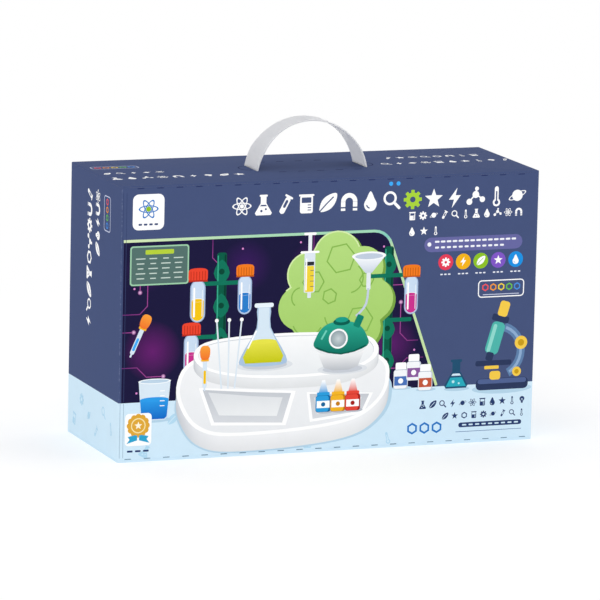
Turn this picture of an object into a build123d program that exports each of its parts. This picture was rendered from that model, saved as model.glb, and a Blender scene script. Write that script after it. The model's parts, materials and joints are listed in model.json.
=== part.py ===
"""A boxed science kit: a printed board carton with a carry handle, packed with laboratory apparatus.

Millimetres. The origin is the centre of the carton's underside, +Z is up and the front face looks along -Y.
The lid folds up from the front top edge. Inside, a card fitment holds the apparatus upright in front of the
laboratory table, which stands on its edge with its working side to the front. The carton's width, depth and
height are worked out from what it holds.
"""

from build123d import *
import os

os.makedirs("parts", exist_ok=True)

# Carton
board = 2
corner_radius = 3
fold_radius = 1.2
crease_gap = 0.3
glue_tab_width = 22
glue_tab_end_gap = 8
tuck_length = 30
tuck_clearance = 2.5
tuck_end_gap = 26
tuck_corner = 12
dust_length = 84
dust_front_taper = 0.56
dust_rear_taper = 0.14
dust_front_gap = 1.5
dust_rear_gap = 9
dust_corner = 6
bottom_inner_length = 100
bottom_dust_length = 90
liner_gap = 0.4
top_room = 12

# Carry handle
handle_pitch = 118
handle_rise = 49
strap_foot_width = 38
strap_top_width = 28
strap_thickness = 1.6
strap_lift = 0.5
slot_clearance = 1
anchor_neck_width = 30
anchor_bar_width = 46
anchor_bar_depth = 9
anchor_bar_thickness = 2.4
anchor_neck_stand = 0.2

# Card fitment
card = 2
fitment_side_gap = 2
fitment_front_gap = 2.6
shelf_height = 188
deck_above_shelf = 26
hole_clearance = 0.6
seat_gap = 0.2
item_gap = 3.5
row_pitch = 38
row_front_gap = 3
corner_item_offset = 27
syringe_nest = 2.5

# Laboratory table
table_width = 410
table_length = 232
table_thickness = 36
table_wall = 2.4
table_corner = 58
table_back_gap = 7
table_side_gap = 4
platform_width = 300
platform_length = 104
platform_thickness = 13
platform_front_gap = 3.4
platform_corner = 50
platform_rim = 8
platform_recess = 3
platform_from_top = 10
basin_width = 184
basin_length = 88
basin_depth = 26
basin_from_bottom = 22
basin_corner = 12
basin_tray_wall = 1.2
basin_tray_depth = 18
locker_width = 72
locker_length = 96
locker_depth = 24
locker_corner = 10
locker_inset = 20
rack_hole_radius = 5
rack_hole_pitch = 22
rack_slot_width = 66
rack_slot_length = 24
rack_slot_depth = 16
socket_width = 12.8
socket_length = 27
socket_spacing = 210
socket_depth = 7

# Display pieces
post_width = 20
post_bulge_radius = 13
post_bulges = 4
post_thickness = 10
post_height = 226
tree_thickness = 8
tree_trunk_width = 70
tree_crown_radius = 44
tree_side_radius = 36
tree_side_spread = 58
tree_height = 250
tree_slot_gap = 3
tree_front_gap = 5.2
tree_tile_radius = 15
tree_tile_relief = 0.8
chart_width = 94
chart_height = 64
chart_thickness = 3
chart_corner = 5
chart_frame = 3
chart_relief = 0.6
booklet_width = 178
booklet_height = 244
booklet_thickness = 1.6
booklet_corner = 4

# Glassware in clear plastic
flask_radius = 26
flask_height = 78
flask_wall = 1.2
flask_neck_radius = 12
flask_cone_top = 48
flask_foot = 5
flask_rim = 2
flask_foot_corner = 2
beaker_radius = 25
beaker_foot_radius = 23
beaker_rim_radius = 27
beaker_height = 62
beaker_wall = 1.3
beaker_rim_height = 2
beaker_foot_corner = 1
funnel_radius = 25
funnel_cone_height = 22
funnel_rim_height = 3
funnel_spout_radius = 4.5
funnel_spout_tip_radius = 3.4
funnel_spout_length = 34
funnel_wall = 1.2
funnel_seat_radius = 18
clip_count = 4
clip_thickness = 4
clip_ring_radius = 12
clip_ring_wall = 2.6
clip_mouth = 9
clip_arm_length = 12
clip_arm_width = 6
clip_arm_overlap = 1
clip_offset = 5

# Reaction pot
pot_radius = 35
pot_bowl_height = 28
pot_wall = 2
pot_neck_radius = 13
pot_neck_height = 8
pot_port_radius = 5
pot_port_bore_radius = 1.8
pot_port_height = 34
pot_port_offset = 22
pot_window_radius = 11
pot_window_rim = 3
pot_window_thickness = 2
pot_window_gap = 1
pot_window_reach = 34
pot_window_set_back = 2

# Tubes with screw caps
large_tube_radius = 14
large_tube_length = 96
large_tube_wall = 1.2
large_cap_radius = 16
large_cap_height = 22
small_tube_radius = 9
small_tube_length = 78
small_tube_wall = 1
small_cap_radius = 11
small_cap_height = 17
cap_wall = 1.8
cap_clearance = 0.2
cap_rib_count = 24
cap_rib_radius = 0.5

# Bottles, sold full
reagent_radius = 16
reagent_body_height = 40
reagent_shoulder_height = 9
reagent_neck_radius = 9
reagent_neck_height = 15
reagent_neck_flare = 2
reagent_neck_step = 1
reagent_foot_corner = 1.5
reagent_cap_radius = 12
reagent_cap_height = 18
reagent_count = 4
dye_radius = 11
dye_body_height = 24
dye_neck_radius = 6
dye_neck_height = 7
dye_shoulder_height = 3
dye_shoulder_inset = 2
dye_foot_corner = 1
dye_cap_radius = 9
dye_cap_height = 24
dye_cap_skirt_height = 11
dye_cap_cone_radius = 5.6
dye_cap_cone_height = 13
dye_cap_tip_radius = 2.6
dye_cap_tip_corner = 1
dye_pitch = 25

# Droppers, syringe and rods
dropper_radius = 4.5
dropper_wall = 0.8
dropper_length = 84
dropper_tip_length = 20
dropper_tip_radius = 1.6
bulb_radius = 8
bulb_collar_radius = 7
bulb_collar_height = 4
bulb_waist_radius = 5.8
bulb_height = 28
bulb_grip = 9
syringe_radius = 9.5
syringe_wall = 1.1
syringe_length = 84
syringe_tip_length = 12
syringe_tip_radius = 2.4
syringe_shoulder_width = 1
syringe_shoulder_height = 2
syringe_bore_radius = 1
syringe_flange_length = 30
syringe_flange_width = 20
syringe_flange_corner = 6
syringe_flange_thickness = 2
plunger_rib = 1.6
plunger_radius = 7
plunger_thumb_radius = 9
plunger_thumb_thickness = 2
plunger_stand = 12
seal_height = 6
seal_clearance = 0.1
seal_nose_inset = 2
seal_nose_height = 1.4
rod_radius = 2
rod_length = 160
rod_head_radius = 4.5
spoon_bowl_radius = 7
spoon_bowl_thickness = 3
spoon_bowl_wall = 1.2
stick_radius = 2.2
stick_length = 236

# Places along the fitment from its row's left end, one item after another
post_from_end = item_gap + post_thickness / 2
flask_from_end = post_from_end + post_thickness / 2 + item_gap + flask_radius
funnel_from_end = flask_from_end + flask_radius + item_gap + funnel_radius
pot_from_end = funnel_from_end + funnel_radius + item_gap + pot_radius
beaker_from_end = pot_from_end + pot_radius + item_gap + beaker_rim_radius
syringe_from_end = beaker_from_end + beaker_rim_radius - syringe_nest + syringe_flange_width / 2
columns_from_end = syringe_from_end + syringe_flange_width / 2 + item_gap + large_cap_radius
column_pitch = 2 * max(reagent_radius, large_cap_radius) + item_gap
last_column_from_end = columns_from_end + (reagent_count - 1) * column_pitch
dye_from_end = last_column_from_end + reagent_radius + item_gap + dye_radius
row_length = dye_from_end + dye_radius + item_gap

# The carton is made round the fitment, the table and the tallest item
row_from_front = card + row_front_gap + pot_radius
tree_from_row = pot_radius + tree_front_gap + tree_tile_relief + tree_thickness / 2
fitment_depth = row_from_front + tree_from_row + tree_thickness / 2 + tree_slot_gap + card
pad_level = 3 * board
floor_level = pad_level + board
inner_half_width = max(row_length / 2 + fitment_side_gap, table_width / 2 + table_side_gap)
inner_depth = fitment_front_gap + fitment_depth + platform_front_gap
inner_depth += platform_thickness + table_thickness + table_back_gap
inner_half_depth = inner_depth / 2
deck_height = shelf_height + deck_above_shelf
tallest_standing = floor_level + max(tree_height, table_length, stick_length, booklet_height)
lid_under = max(tallest_standing, shelf_height + flask_height) + top_room
half_width = inner_half_width + board
half_depth = inner_half_depth + board
carton_width = 2 * half_width
carton_depth = 2 * half_depth
carton_height = lid_under + board

# Levels and faces
wall_top = lid_under - crease_gap
bottom_inner_level = board
bottom_dust_level = 2 * board
shelf_under = shelf_height - card
deck_under = deck_height - card
fitment_front = -inner_half_depth + fitment_front_gap
fitment_back = fitment_front + fitment_depth
fitment_half_width = inner_half_width - fitment_side_gap
row_centre = fitment_front + row_from_front
front_row = row_centre - row_pitch / 2
rear_row = row_centre + row_pitch / 2
corner_rows = (row_centre - corner_item_offset, row_centre + corner_item_offset)

# Places in the fitment
row_start = -row_length / 2
post_x = row_start + post_from_end
flask_x = row_start + flask_from_end
funnel_x = row_start + funnel_from_end
pot_x = row_start + pot_from_end
beaker_x = row_start + beaker_from_end
syringe_x = row_start + syringe_from_end
dye_x = row_start + dye_from_end
dropper_x = (flask_x + flask_radius + funnel_x - funnel_radius) / 2
rod_x = (funnel_x + funnel_radius + pot_x - pot_radius) / 2
stick_x = (pot_x + pot_radius + beaker_x - beaker_rim_radius) / 2
columns = [row_start + columns_from_end + i * column_pitch for i in range(reagent_count)]
large_tube_places = [(columns[0], rear_row), (columns[1], rear_row)]
small_tube_start = columns[1] + large_cap_radius + item_gap + small_cap_radius
small_tube_places = [(small_tube_start + i * (2 * small_cap_radius + item_gap), rear_row) for i in range(2)]
reagent_places = [(x, front_row) for x in columns]
dye_places = [(dye_x, row_centre + (i - 1) * dye_pitch) for i in range(3)]
dropper_places = [(dropper_x, y) for y in corner_rows]
syringe_place = (syringe_x, corner_rows[1])
stick_places = [(stick_x, corner_rows[0]), (stick_x, corner_rows[1]), (syringe_x, corner_rows[0])]
rod_place = (rod_x, corner_rows[0])
spoon_place = (rod_x, corner_rows[1])
post_places = [(post_x, front_row), (post_x, rear_row)]
tree_y = row_centre + tree_from_row
tree_x = (flask_x + pot_x) / 2
tree_half_width = tree_side_spread + tree_side_radius
chart_x = tree_x + tree_half_width + 2 * item_gap + chart_width / 2


def save(shape, name):
    """Names one finished piece and writes it."""
    shape.label = name
    export_step(shape, f"parts/{name}.step")


# Carton sleeve: one folded sheet, closed by a glue tab inside the back left corner
with BuildPart() as carton_sleeve:
    with BuildSketch(Plane.XY.offset(board)):
        RectangleRounded(carton_width, carton_depth, corner_radius)
        RectangleRounded(
            2 * inner_half_width, 2 * inner_half_depth, corner_radius - board, mode=Mode.SUBTRACT
        )
    extrude(amount=wall_top - board)
    with BuildSketch(Plane.XY.offset(pad_level + glue_tab_end_gap)):
        with Locations((-inner_half_width + glue_tab_width / 2, inner_half_depth - board / 2)):
            Rectangle(glue_tab_width, board)
    extrude(amount=wall_top - pad_level - 2 * glue_tab_end_gap)
save(carton_sleeve.part, "carton_sleeve")

# Lid: folds up from the front top edge and carries the handle
with BuildPart() as top_lid:
    with BuildSketch(Plane.XY.offset(lid_under)):
        RectangleRounded(carton_width, carton_depth, corner_radius)
        with Locations((-handle_pitch / 2, 0), (handle_pitch / 2, 0)):
            Rectangle(
                strap_thickness + 2 * slot_clearance,
                strap_foot_width + 2 * slot_clearance,
                mode=Mode.SUBTRACT,
            )
    extrude(amount=board)
    long_edges = top_lid.edges().filter_by(Axis.X).group_by(Axis.Z)[-1].sort_by(Axis.Y)
    fillet([long_edges[0], long_edges[-1]], radius=min(fold_radius, 0.8 * board))
save(top_lid.part, "top_lid")

# Tuck flap: hangs from the lid's rear edge, inside the back wall, and turns on its rounded crease
tuck_middle = inner_half_depth - tuck_clearance - board / 2
tuck_axis_height = lid_under - crease_gap - board / 2
tuck_width = 2 * (inner_half_width - tuck_end_gap)
with BuildPart() as tuck_flap:
    with BuildSketch(Plane.XZ.offset(-tuck_middle - board / 2)):
        with Locations((0, tuck_axis_height - tuck_length / 2)):
            tuck_face = Rectangle(tuck_width, tuck_length)
        fillet(tuck_face.vertices().group_by(Axis.Z)[0], radius=tuck_corner)
    extrude(amount=board)
    with BuildSketch(Plane.YZ.offset(-tuck_width / 2)):
        with Locations((tuck_middle, tuck_axis_height)):
            Circle(board / 2)
    extrude(amount=tuck_width)
save(tuck_flap.part, "tuck_flap")

# Dust flaps: hinged on the side walls, tapered so that they follow the lid up
dust_root = inner_half_width - crease_gap / 2
dust_front_root = -inner_half_depth + dust_front_gap
dust_back_root = inner_half_depth - dust_rear_gap
for side, flap_name in ((-1, "dust_flap_left"), (1, "dust_flap_right")):
    dust_outline = [
        (side * dust_root, dust_front_root),
        (side * (dust_root - dust_length), dust_front_root + dust_front_taper * dust_length),
        (side * (dust_root - dust_length), dust_back_root - dust_rear_taper * dust_length),
        (side * dust_root, dust_back_root),
    ]
    with BuildPart() as dust_flap:
        with BuildSketch(Plane.XY.offset(wall_top - board)):
            with BuildLine():
                Polyline(*dust_outline, close=True)
            dust_face = make_face()
            fillet(dust_face.vertices().sort_by(lambda v: abs(v.X))[:2], radius=dust_corner)
        extrude(amount=board)
    save(dust_flap.part, flap_name)

# Bottom closure: glued flaps, face to face, with a loose pad of the same board on top
with BuildPart() as bottom_flap_outer:
    with BuildSketch():
        RectangleRounded(carton_width, carton_depth, corner_radius)
    extrude(amount=board)
save(bottom_flap_outer.part, "bottom_flap_outer")

bottom_width = 2 * (inner_half_width - liner_gap)
with BuildPart() as bottom_flap_inner:
    with BuildSketch(Plane.XY.offset(bottom_inner_level)):
        with Locations((0, inner_half_depth - liner_gap - bottom_inner_length / 2)):
            Rectangle(bottom_width, bottom_inner_length)
    extrude(amount=board)
save(bottom_flap_inner.part, "bottom_flap_inner")

with BuildPart() as bottom_dust_flaps:
    with BuildSketch(Plane.XY.offset(bottom_dust_level)):
        dust_offset = bottom_width / 2 - bottom_dust_length / 2
        with Locations((-dust_offset, 0), (dust_offset, 0)):
            Rectangle(bottom_dust_length, 2 * (inner_half_depth - liner_gap))
    extrude(amount=board)
save(bottom_dust_flaps.part, "bottom_dust_flaps")

with BuildPart() as floor_pad:
    with BuildSketch(Plane.XY.offset(pad_level)):
        Rectangle(bottom_width, 2 * (inner_half_depth - liner_gap))
    extrude(amount=board)
save(floor_pad.part, "floor_pad")

# Handle strap: an arc of flat strap, narrower at the top, with feet rounded about the line it tilts on
handle_foot = carton_height + strap_lift
handle_axis_height = handle_foot + strap_foot_width / 2
handle_arc_radius = (handle_pitch**2 / 4 + handle_rise**2) / (2 * handle_rise)
handle_arc_middle = carton_height + handle_rise - handle_arc_radius
handle_top = carton_height + handle_rise + strap_thickness
with BuildPart() as handle_strap:
    with BuildSketch(Plane.XZ.offset(-strap_foot_width / 2)):
        with Locations((0, handle_arc_middle)):
            Circle(handle_arc_radius + strap_thickness / 2)
            Circle(handle_arc_radius - strap_thickness / 2, mode=Mode.SUBTRACT)
        with Locations((0, carton_height - handle_arc_radius)):
            Rectangle(4 * handle_arc_radius, 2 * handle_arc_radius, mode=Mode.SUBTRACT)
    extrude(amount=strap_foot_width)
    with BuildSketch(Plane.YZ.offset(-handle_pitch)):
        with Locations((0, handle_axis_height)):
            Circle(strap_foot_width / 2)
        with BuildLine():
            Polyline(
                (-strap_foot_width / 2, handle_axis_height),
                (strap_foot_width / 2, handle_axis_height),
                (strap_top_width / 2, handle_top),
                (-strap_top_width / 2, handle_top),
                close=True,
            )
        make_face()
    extrude(amount=2 * handle_pitch, mode=Mode.INTERSECT)
save(handle_strap.part, "handle_strap")

# Handle anchors: a neck through each slot and a cross bar that catches under the lid
for side, anchor_name in ((-1, "handle_anchor_left"), (1, "handle_anchor_right")):
    anchor_x = side * handle_pitch / 2
    bar_level = lid_under - crease_gap - anchor_bar_thickness
    with BuildPart() as anchor:
        with BuildSketch(Plane.XY.offset(bar_level)):
            with Locations((anchor_x, 0)):
                RectangleRounded(anchor_bar_depth, anchor_bar_width, anchor_bar_depth / 2.5)
        extrude(amount=anchor_bar_thickness)
        with BuildSketch(Plane.XY.offset(bar_level)):
            with Locations((anchor_x, 0)):
                Rectangle(strap_thickness, anchor_neck_width)
        extrude(amount=carton_height + anchor_neck_stand - bar_level)
    save(anchor.part, anchor_name)

# Fitment legs: the front and rear walls of the card fitment
for leg_name, leg_y in (
    ("fitment_front_leg", fitment_front + card / 2),
    ("fitment_rear_leg", fitment_back - card / 2),
):
    with BuildPart() as leg:
        with BuildSketch(Plane.XY.offset(floor_level)):
            with Locations((0, leg_y)):
                Rectangle(2 * fitment_half_width, card)
        extrude(amount=deck_under - floor_level)
    save(leg.part, leg_name)

# Fitment deck: every item comes up through it, or hangs from it
with BuildPart() as fitment_deck:
    with BuildSketch(Plane.XY.offset(deck_under)):
        with Locations((0, (fitment_front + fitment_back) / 2)):
            Rectangle(2 * fitment_half_width, fitment_depth)
        for radius, places in (
            (flask_radius, [(flask_x, row_centre)]),
            (funnel_seat_radius - hole_clearance / 2, [(funnel_x, row_centre)]),
            (pot_radius, [(pot_x, row_centre)]),
            (beaker_rim_radius, [(beaker_x, row_centre)]),
            (large_tube_radius, large_tube_places),
            (small_tube_radius, small_tube_places),
            (reagent_radius, reagent_places),
            (dye_radius, dye_places),
            (dropper_radius, dropper_places),
            (syringe_radius, [syringe_place]),
            (rod_radius, [rod_place, spoon_place]),
            (stick_radius, stick_places),
        ):
            with Locations(*places):
                Circle(radius + hole_clearance, mode=Mode.SUBTRACT)
        with Locations(*post_places):
            Rectangle(
                post_thickness + 2 * hole_clearance,
                2 * post_bulge_radius + 2 * hole_clearance,
                mode=Mode.SUBTRACT,
            )
        with Locations((tree_x, tree_y)):
            Rectangle(
                2 * tree_half_width + 2 * hole_clearance,
                tree_thickness + 2 * tree_tile_relief + 2 * hole_clearance,
                mode=Mode.SUBTRACT,
            )
        with Locations((chart_x, tree_y)):
            Rectangle(
                chart_width + 2 * hole_clearance,
                chart_thickness + 2 * chart_relief + 2 * hole_clearance,
                mode=Mode.SUBTRACT,
            )
    extrude(amount=card)
save(fitment_deck.part, "fitment_deck")

# Fitment shelf: short items stand on it and long ones go on through
with BuildPart() as fitment_shelf:
    with BuildSketch(Plane.XY.offset(shelf_under)):
        with Locations((0, (fitment_front + fitment_back) / 2)):
            Rectangle(2 * fitment_half_width, fitment_depth - 2 * card - 2 * seat_gap)
        for radius, places in (
            (funnel_spout_radius, [(funnel_x, row_centre)]),
            (large_tube_radius, large_tube_places),
            (small_tube_radius, small_tube_places),
            (dropper_radius, dropper_places),
            (syringe_radius, [syringe_place]),
            (rod_radius, [rod_place, spoon_place]),
            (stick_radius, stick_places),
        ):
            with Locations(*places):
                Circle(radius + hole_clearance, mode=Mode.SUBTRACT)
        with Locations(*post_places):
            Rectangle(
                post_thickness + 2 * hole_clearance,
                2 * post_bulge_radius + 2 * hole_clearance,
                mode=Mode.SUBTRACT,
            )
        with Locations((tree_x, tree_y)):
            Rectangle(
                2 * tree_half_width + 2 * hole_clearance,
                tree_thickness + 2 * tree_tile_relief + 2 * hole_clearance,
                mode=Mode.SUBTRACT,
            )
    extrude(amount=card)
save(fitment_shelf.part, "fitment_shelf")

# Laboratory table, on its edge: its underside faces the back wall and its working side the front
table_under = inner_half_depth - table_back_gap
table_middle = floor_level + table_length / 2
table_face = table_under - table_thickness
basin_middle = floor_level + basin_from_bottom + basin_length / 2
locker_x = table_width / 2 - locker_inset - locker_width / 2
table_plane = Plane.XZ.offset(-table_under)
face_plane = Plane.XZ.offset(-table_face)
with BuildPart() as table_base:
    with BuildSketch(table_plane):
        with Locations((0, table_middle)):
            RectangleRounded(table_width, table_length, table_corner)
    extrude(amount=table_thickness)
    with BuildSketch(table_plane):
        with Locations((0, table_middle)):
            RectangleRounded(
                table_width - 2 * table_wall, table_length - 2 * table_wall, table_corner - table_wall
            )
    extrude(amount=table_thickness - table_wall, mode=Mode.SUBTRACT)
    rack_slot_middle = basin_middle - locker_length / 4
    recesses = (
        (0, basin_middle, basin_width, basin_length, basin_corner, basin_depth),
        (locker_x, basin_middle, locker_width, locker_length, locker_corner, locker_depth),
        (-locker_x, rack_slot_middle, rack_slot_width, rack_slot_length, table_wall, rack_slot_depth),
    )
    for x, z, width, length, corner, depth in recesses:
        with BuildSketch(face_plane):
            with Locations((x, z)):
                RectangleRounded(width + 2 * table_wall, length + 2 * table_wall, corner + table_wall)
        extrude(amount=-depth - table_wall)
        with BuildSketch(face_plane):
            with Locations((x, z)):
                RectangleRounded(width, length, corner)
        extrude(amount=-depth, mode=Mode.SUBTRACT)
    with BuildSketch(face_plane):
        with Locations((-locker_x, basin_middle + locker_length / 4)):
            with GridLocations(rack_hole_pitch, rack_hole_pitch, 2, 2):
                Circle(rack_hole_radius)
    extrude(amount=-table_wall, mode=Mode.SUBTRACT)
save(table_base.part, "table_base")

# Raised platform: a shallow cover on the table's face, with a rim and two sockets for the posts
platform_middle = floor_level + table_length - platform_from_top - platform_length / 2
platform_face = table_face - platform_thickness
with BuildPart() as raised_platform:
    with BuildSketch(face_plane):
        with Locations((0, platform_middle)):
            RectangleRounded(platform_width, platform_length, platform_corner)
    extrude(amount=platform_thickness)
    with BuildSketch(face_plane):
        with Locations((0, platform_middle)):
            RectangleRounded(
                platform_width - 2 * table_wall,
                platform_length - 2 * table_wall,
                platform_corner - table_wall,
            )
    extrude(amount=platform_thickness - platform_recess - table_wall, mode=Mode.SUBTRACT)
    with BuildSketch(Plane.XZ.offset(-platform_face)):
        with Locations((0, platform_middle)):
            RectangleRounded(
                platform_width - 2 * platform_rim,
                platform_length - 2 * platform_rim,
                platform_corner - platform_rim,
            )
    extrude(amount=-platform_recess, mode=Mode.SUBTRACT)
    socket_places = ((-socket_spacing / 2, platform_middle), (socket_spacing / 2, platform_middle))
    with BuildSketch(Plane.XZ.offset(-platform_face - platform_recess)):
        with Locations(*socket_places):
            Rectangle(socket_length + 2 * table_wall, socket_width + 2 * table_wall)
    extrude(amount=-socket_depth)
    with BuildSketch(Plane.XZ.offset(-platform_face)):
        with Locations(*socket_places):
            Rectangle(socket_length, socket_width)
    extrude(amount=-socket_depth, mode=Mode.SUBTRACT)
save(raised_platform.part, "raised_platform")

# Basin tray: a thin lift-out liner
with BuildPart() as basin_tray:
    tray_bottom = Plane.XZ.offset(-table_face - basin_depth)
    with BuildSketch(tray_bottom):
        with Locations((0, basin_middle)):
            RectangleRounded(
                basin_width - 2 * hole_clearance,
                basin_length - 2 * hole_clearance,
                basin_corner - hole_clearance,
            )
    extrude(amount=basin_tray_depth)
    with BuildSketch(tray_bottom.offset(basin_tray_wall)):
        with Locations((0, basin_middle)):
            RectangleRounded(
                basin_width - 2 * hole_clearance - 2 * basin_tray_wall,
                basin_length - 2 * hole_clearance - 2 * basin_tray_wall,
                basin_corner - hole_clearance - basin_tray_wall,
            )
    extrude(amount=basin_tray_depth, mode=Mode.SUBTRACT)
save(basin_tray.part, "basin_tray")

# Display posts: flat bars with a row of round bulges, side by side at the fitment's left end
with BuildPart() as display_posts:
    bulge_pitch = post_height / post_bulges
    for x, y in post_places:
        with BuildSketch(Plane.YZ.offset(x - post_thickness / 2)):
            with Locations((y, floor_level + post_height / 2)):
                RectangleRounded(post_width, post_height, post_width / 4)
            with Locations((y, floor_level + post_height / 2)):
                with GridLocations(post_width, bulge_pitch, 1, post_bulges):
                    Ellipse(post_bulge_radius, bulge_pitch / 3)
        extrude(amount=post_thickness)
save(display_posts.part, "display_posts")

# Tree board: overlapping round leaves on a trunk, with low hexagonal tiles on the front
leaf_top = floor_level + tree_height
leaf_places = (
    (0, leaf_top - tree_crown_radius, tree_crown_radius),
    (-tree_side_spread, leaf_top - 2.3 * tree_crown_radius, tree_side_radius),
    (tree_side_spread, leaf_top - 2.1 * tree_crown_radius, tree_side_radius),
    (0, leaf_top - 2.6 * tree_crown_radius, tree_crown_radius),
    (-tree_side_spread / 2, leaf_top - 3.6 * tree_crown_radius, tree_side_radius),
    (tree_side_spread / 2, leaf_top - 3.6 * tree_crown_radius, tree_side_radius),
)
with BuildPart() as tree_board:
    with BuildSketch(Plane.XZ.offset(-tree_y - tree_thickness / 2)):
        for x, z, radius in leaf_places:
            with Locations((tree_x + x, z)):
                Circle(radius)
        with Locations((tree_x, floor_level + tree_height / 4)):
            Rectangle(tree_trunk_width, tree_height / 2)
    extrude(amount=tree_thickness)
    with BuildSketch(Plane.XZ.offset(-tree_y + tree_thickness / 2)):
        with Locations(*[(tree_x + x, z) for x, z, radius in leaf_places[:4]]):
            RegularPolygon(tree_tile_radius, 6)
    extrude(amount=tree_tile_relief)
save(tree_board.part, "tree_board")

# Chart board: a framed panel that stands on the shelf
with BuildPart() as chart_board:
    with BuildSketch(Plane.XZ.offset(-tree_y - chart_thickness / 2)):
        with Locations((chart_x, shelf_height + chart_height / 2)):
            RectangleRounded(chart_width, chart_height, chart_corner)
    extrude(amount=chart_thickness)
    with BuildSketch(Plane.XZ.offset(-tree_y + chart_thickness / 2)):
        with Locations((chart_x, shelf_height + chart_height / 2)):
            RectangleRounded(chart_width, chart_height, chart_corner)
            RectangleRounded(
                chart_width - 2 * chart_frame,
                chart_height - 2 * chart_frame,
                chart_corner - chart_frame / 2,
                mode=Mode.SUBTRACT,
            )
    extrude(amount=chart_relief)
save(chart_board.part, "chart_board")

# Booklet: stands between the front wall and the fitment
with BuildPart() as instruction_booklet:
    with BuildSketch(Plane.XZ.offset(inner_half_depth - seat_gap)):
        with Locations((0, floor_level + booklet_height / 2)):
            RectangleRounded(booklet_width, booklet_height, booklet_corner)
    extrude(amount=-booklet_thickness)
save(instruction_booklet.part, "instruction_booklet")

# Conical flask
flask_plane = Plane((flask_x, row_centre, shelf_height), x_dir=(1, 0, 0), z_dir=(0, -1, 0))
with BuildPart() as conical_flask:
    with BuildSketch(flask_plane):
        with BuildLine():
            Polyline(
                (0, 0),
                (flask_radius - flask_foot_corner, 0),
                (flask_radius, flask_foot_corner),
                (flask_radius, flask_foot),
                (flask_neck_radius, flask_cone_top),
                (flask_neck_radius, flask_height - 2 * flask_rim),
                (flask_neck_radius + flask_rim, flask_height - flask_rim),
                (flask_neck_radius + flask_rim, flask_height),
                (flask_neck_radius - flask_wall, flask_height),
                (flask_neck_radius - flask_wall, flask_cone_top),
                (flask_radius - flask_wall, flask_foot),
                (flask_radius - flask_wall, flask_wall),
                (0, flask_wall),
                close=True,
            )
        make_face()
    revolve(axis=Axis((flask_x, row_centre, 0), (0, 0, 1)))
save(conical_flask.part, "conical_flask")

# Beaker
beaker_plane = Plane((beaker_x, row_centre, shelf_height), x_dir=(1, 0, 0), z_dir=(0, -1, 0))
with BuildPart() as beaker:
    with BuildSketch(beaker_plane):
        with BuildLine():
            Polyline(
                (0, 0),
                (beaker_foot_radius - beaker_foot_corner, 0),
                (beaker_foot_radius, beaker_foot_corner),
                (beaker_radius, beaker_height - beaker_rim_height),
                (beaker_rim_radius, beaker_height - beaker_rim_height / 2),
                (beaker_rim_radius, beaker_height),
                (beaker_radius - beaker_wall, beaker_height),
                (beaker_foot_radius - beaker_wall, beaker_wall),
                (0, beaker_wall),
                close=True,
            )
        make_face()
    revolve(axis=Axis((beaker_x, row_centre, 0), (0, 0, 1)))
save(beaker.part, "beaker")

# Tube clips: open rings on short arms, stacked in the beaker
clip_floor = shelf_height + beaker_wall
clip_x = beaker_x - clip_offset
clip_arm_x = clip_x + clip_ring_radius + clip_arm_length / 2 - clip_arm_overlap
with BuildPart() as tube_clips:
    for level in range(clip_count):
        with BuildSketch(Plane.XY.offset(clip_floor + level * clip_thickness)):
            with Locations((clip_x, row_centre)):
                Circle(clip_ring_radius)
            with Locations((clip_arm_x, row_centre)):
                Rectangle(clip_arm_length, clip_arm_width)
            with Locations((clip_x, row_centre)):
                Circle(clip_ring_radius - clip_ring_wall, mode=Mode.SUBTRACT)
            with Locations((clip_x - clip_ring_radius, row_centre)):
                Rectangle(clip_ring_radius, clip_mouth, mode=Mode.SUBTRACT)
        extrude(amount=clip_thickness - seat_gap)
save(tube_clips.part, "tube_clips")

# Funnel: its cone seats in the deck and its spout goes down through the shelf
funnel_slope = (funnel_radius - funnel_spout_radius) / funnel_cone_height
cone_foot = deck_height - (funnel_seat_radius - funnel_spout_radius) / funnel_slope
funnel_plane = Plane((funnel_x, row_centre, cone_foot), x_dir=(1, 0, 0), z_dir=(0, -1, 0))
with BuildPart() as funnel:
    with BuildSketch(funnel_plane):
        with BuildLine():
            Polyline(
                (funnel_spout_tip_radius, -funnel_spout_length),
                (funnel_spout_radius, 0),
                (funnel_radius, funnel_cone_height),
                (funnel_radius, funnel_cone_height + funnel_rim_height),
                (funnel_radius - funnel_wall, funnel_cone_height + funnel_rim_height),
                (funnel_radius - funnel_wall, funnel_cone_height + funnel_wall / 2),
                (funnel_spout_radius - funnel_wall, funnel_wall / 2),
                (funnel_spout_tip_radius - funnel_wall, -funnel_spout_length),
                close=True,
            )
        make_face()
    revolve(axis=Axis((funnel_x, row_centre, 0), (0, 0, 1)))
save(funnel.part, "funnel")

# Reaction pot: a ball parted at its middle into a bowl and a dome, with a neck, a side port and a window
pot_plane = Plane((pot_x, row_centre, shelf_height), x_dir=(1, 0, 0), z_dir=(0, -1, 0))
pot_axis = Axis((pot_x, row_centre, 0), (0, 0, 1))
pot_inner = pot_radius - pot_wall


def ball_width(radius, height):
    """Half width of a ball of this radius at a height above or below its middle."""
    return (radius**2 - height**2) ** 0.5


bowl_floor = pot_bowl_height - pot_wall
with BuildPart() as pot_bowl:
    with BuildSketch(pot_plane):
        with BuildLine():
            Line((0, 0), (ball_width(pot_radius, pot_bowl_height), 0))
            RadiusArc(
                (ball_width(pot_radius, pot_bowl_height), 0),
                (pot_radius, pot_bowl_height),
                -pot_radius,
            )
            Line((pot_radius, pot_bowl_height), (pot_inner, pot_bowl_height))
            RadiusArc(
                (pot_inner, pot_bowl_height), (ball_width(pot_inner, bowl_floor), pot_wall), pot_inner
            )
            Line((ball_width(pot_inner, bowl_floor), pot_wall), (0, pot_wall))
            Line((0, pot_wall), (0, 0))
        make_face()
    revolve(axis=pot_axis)
save(pot_bowl.part, "pot_bowl")

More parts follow.
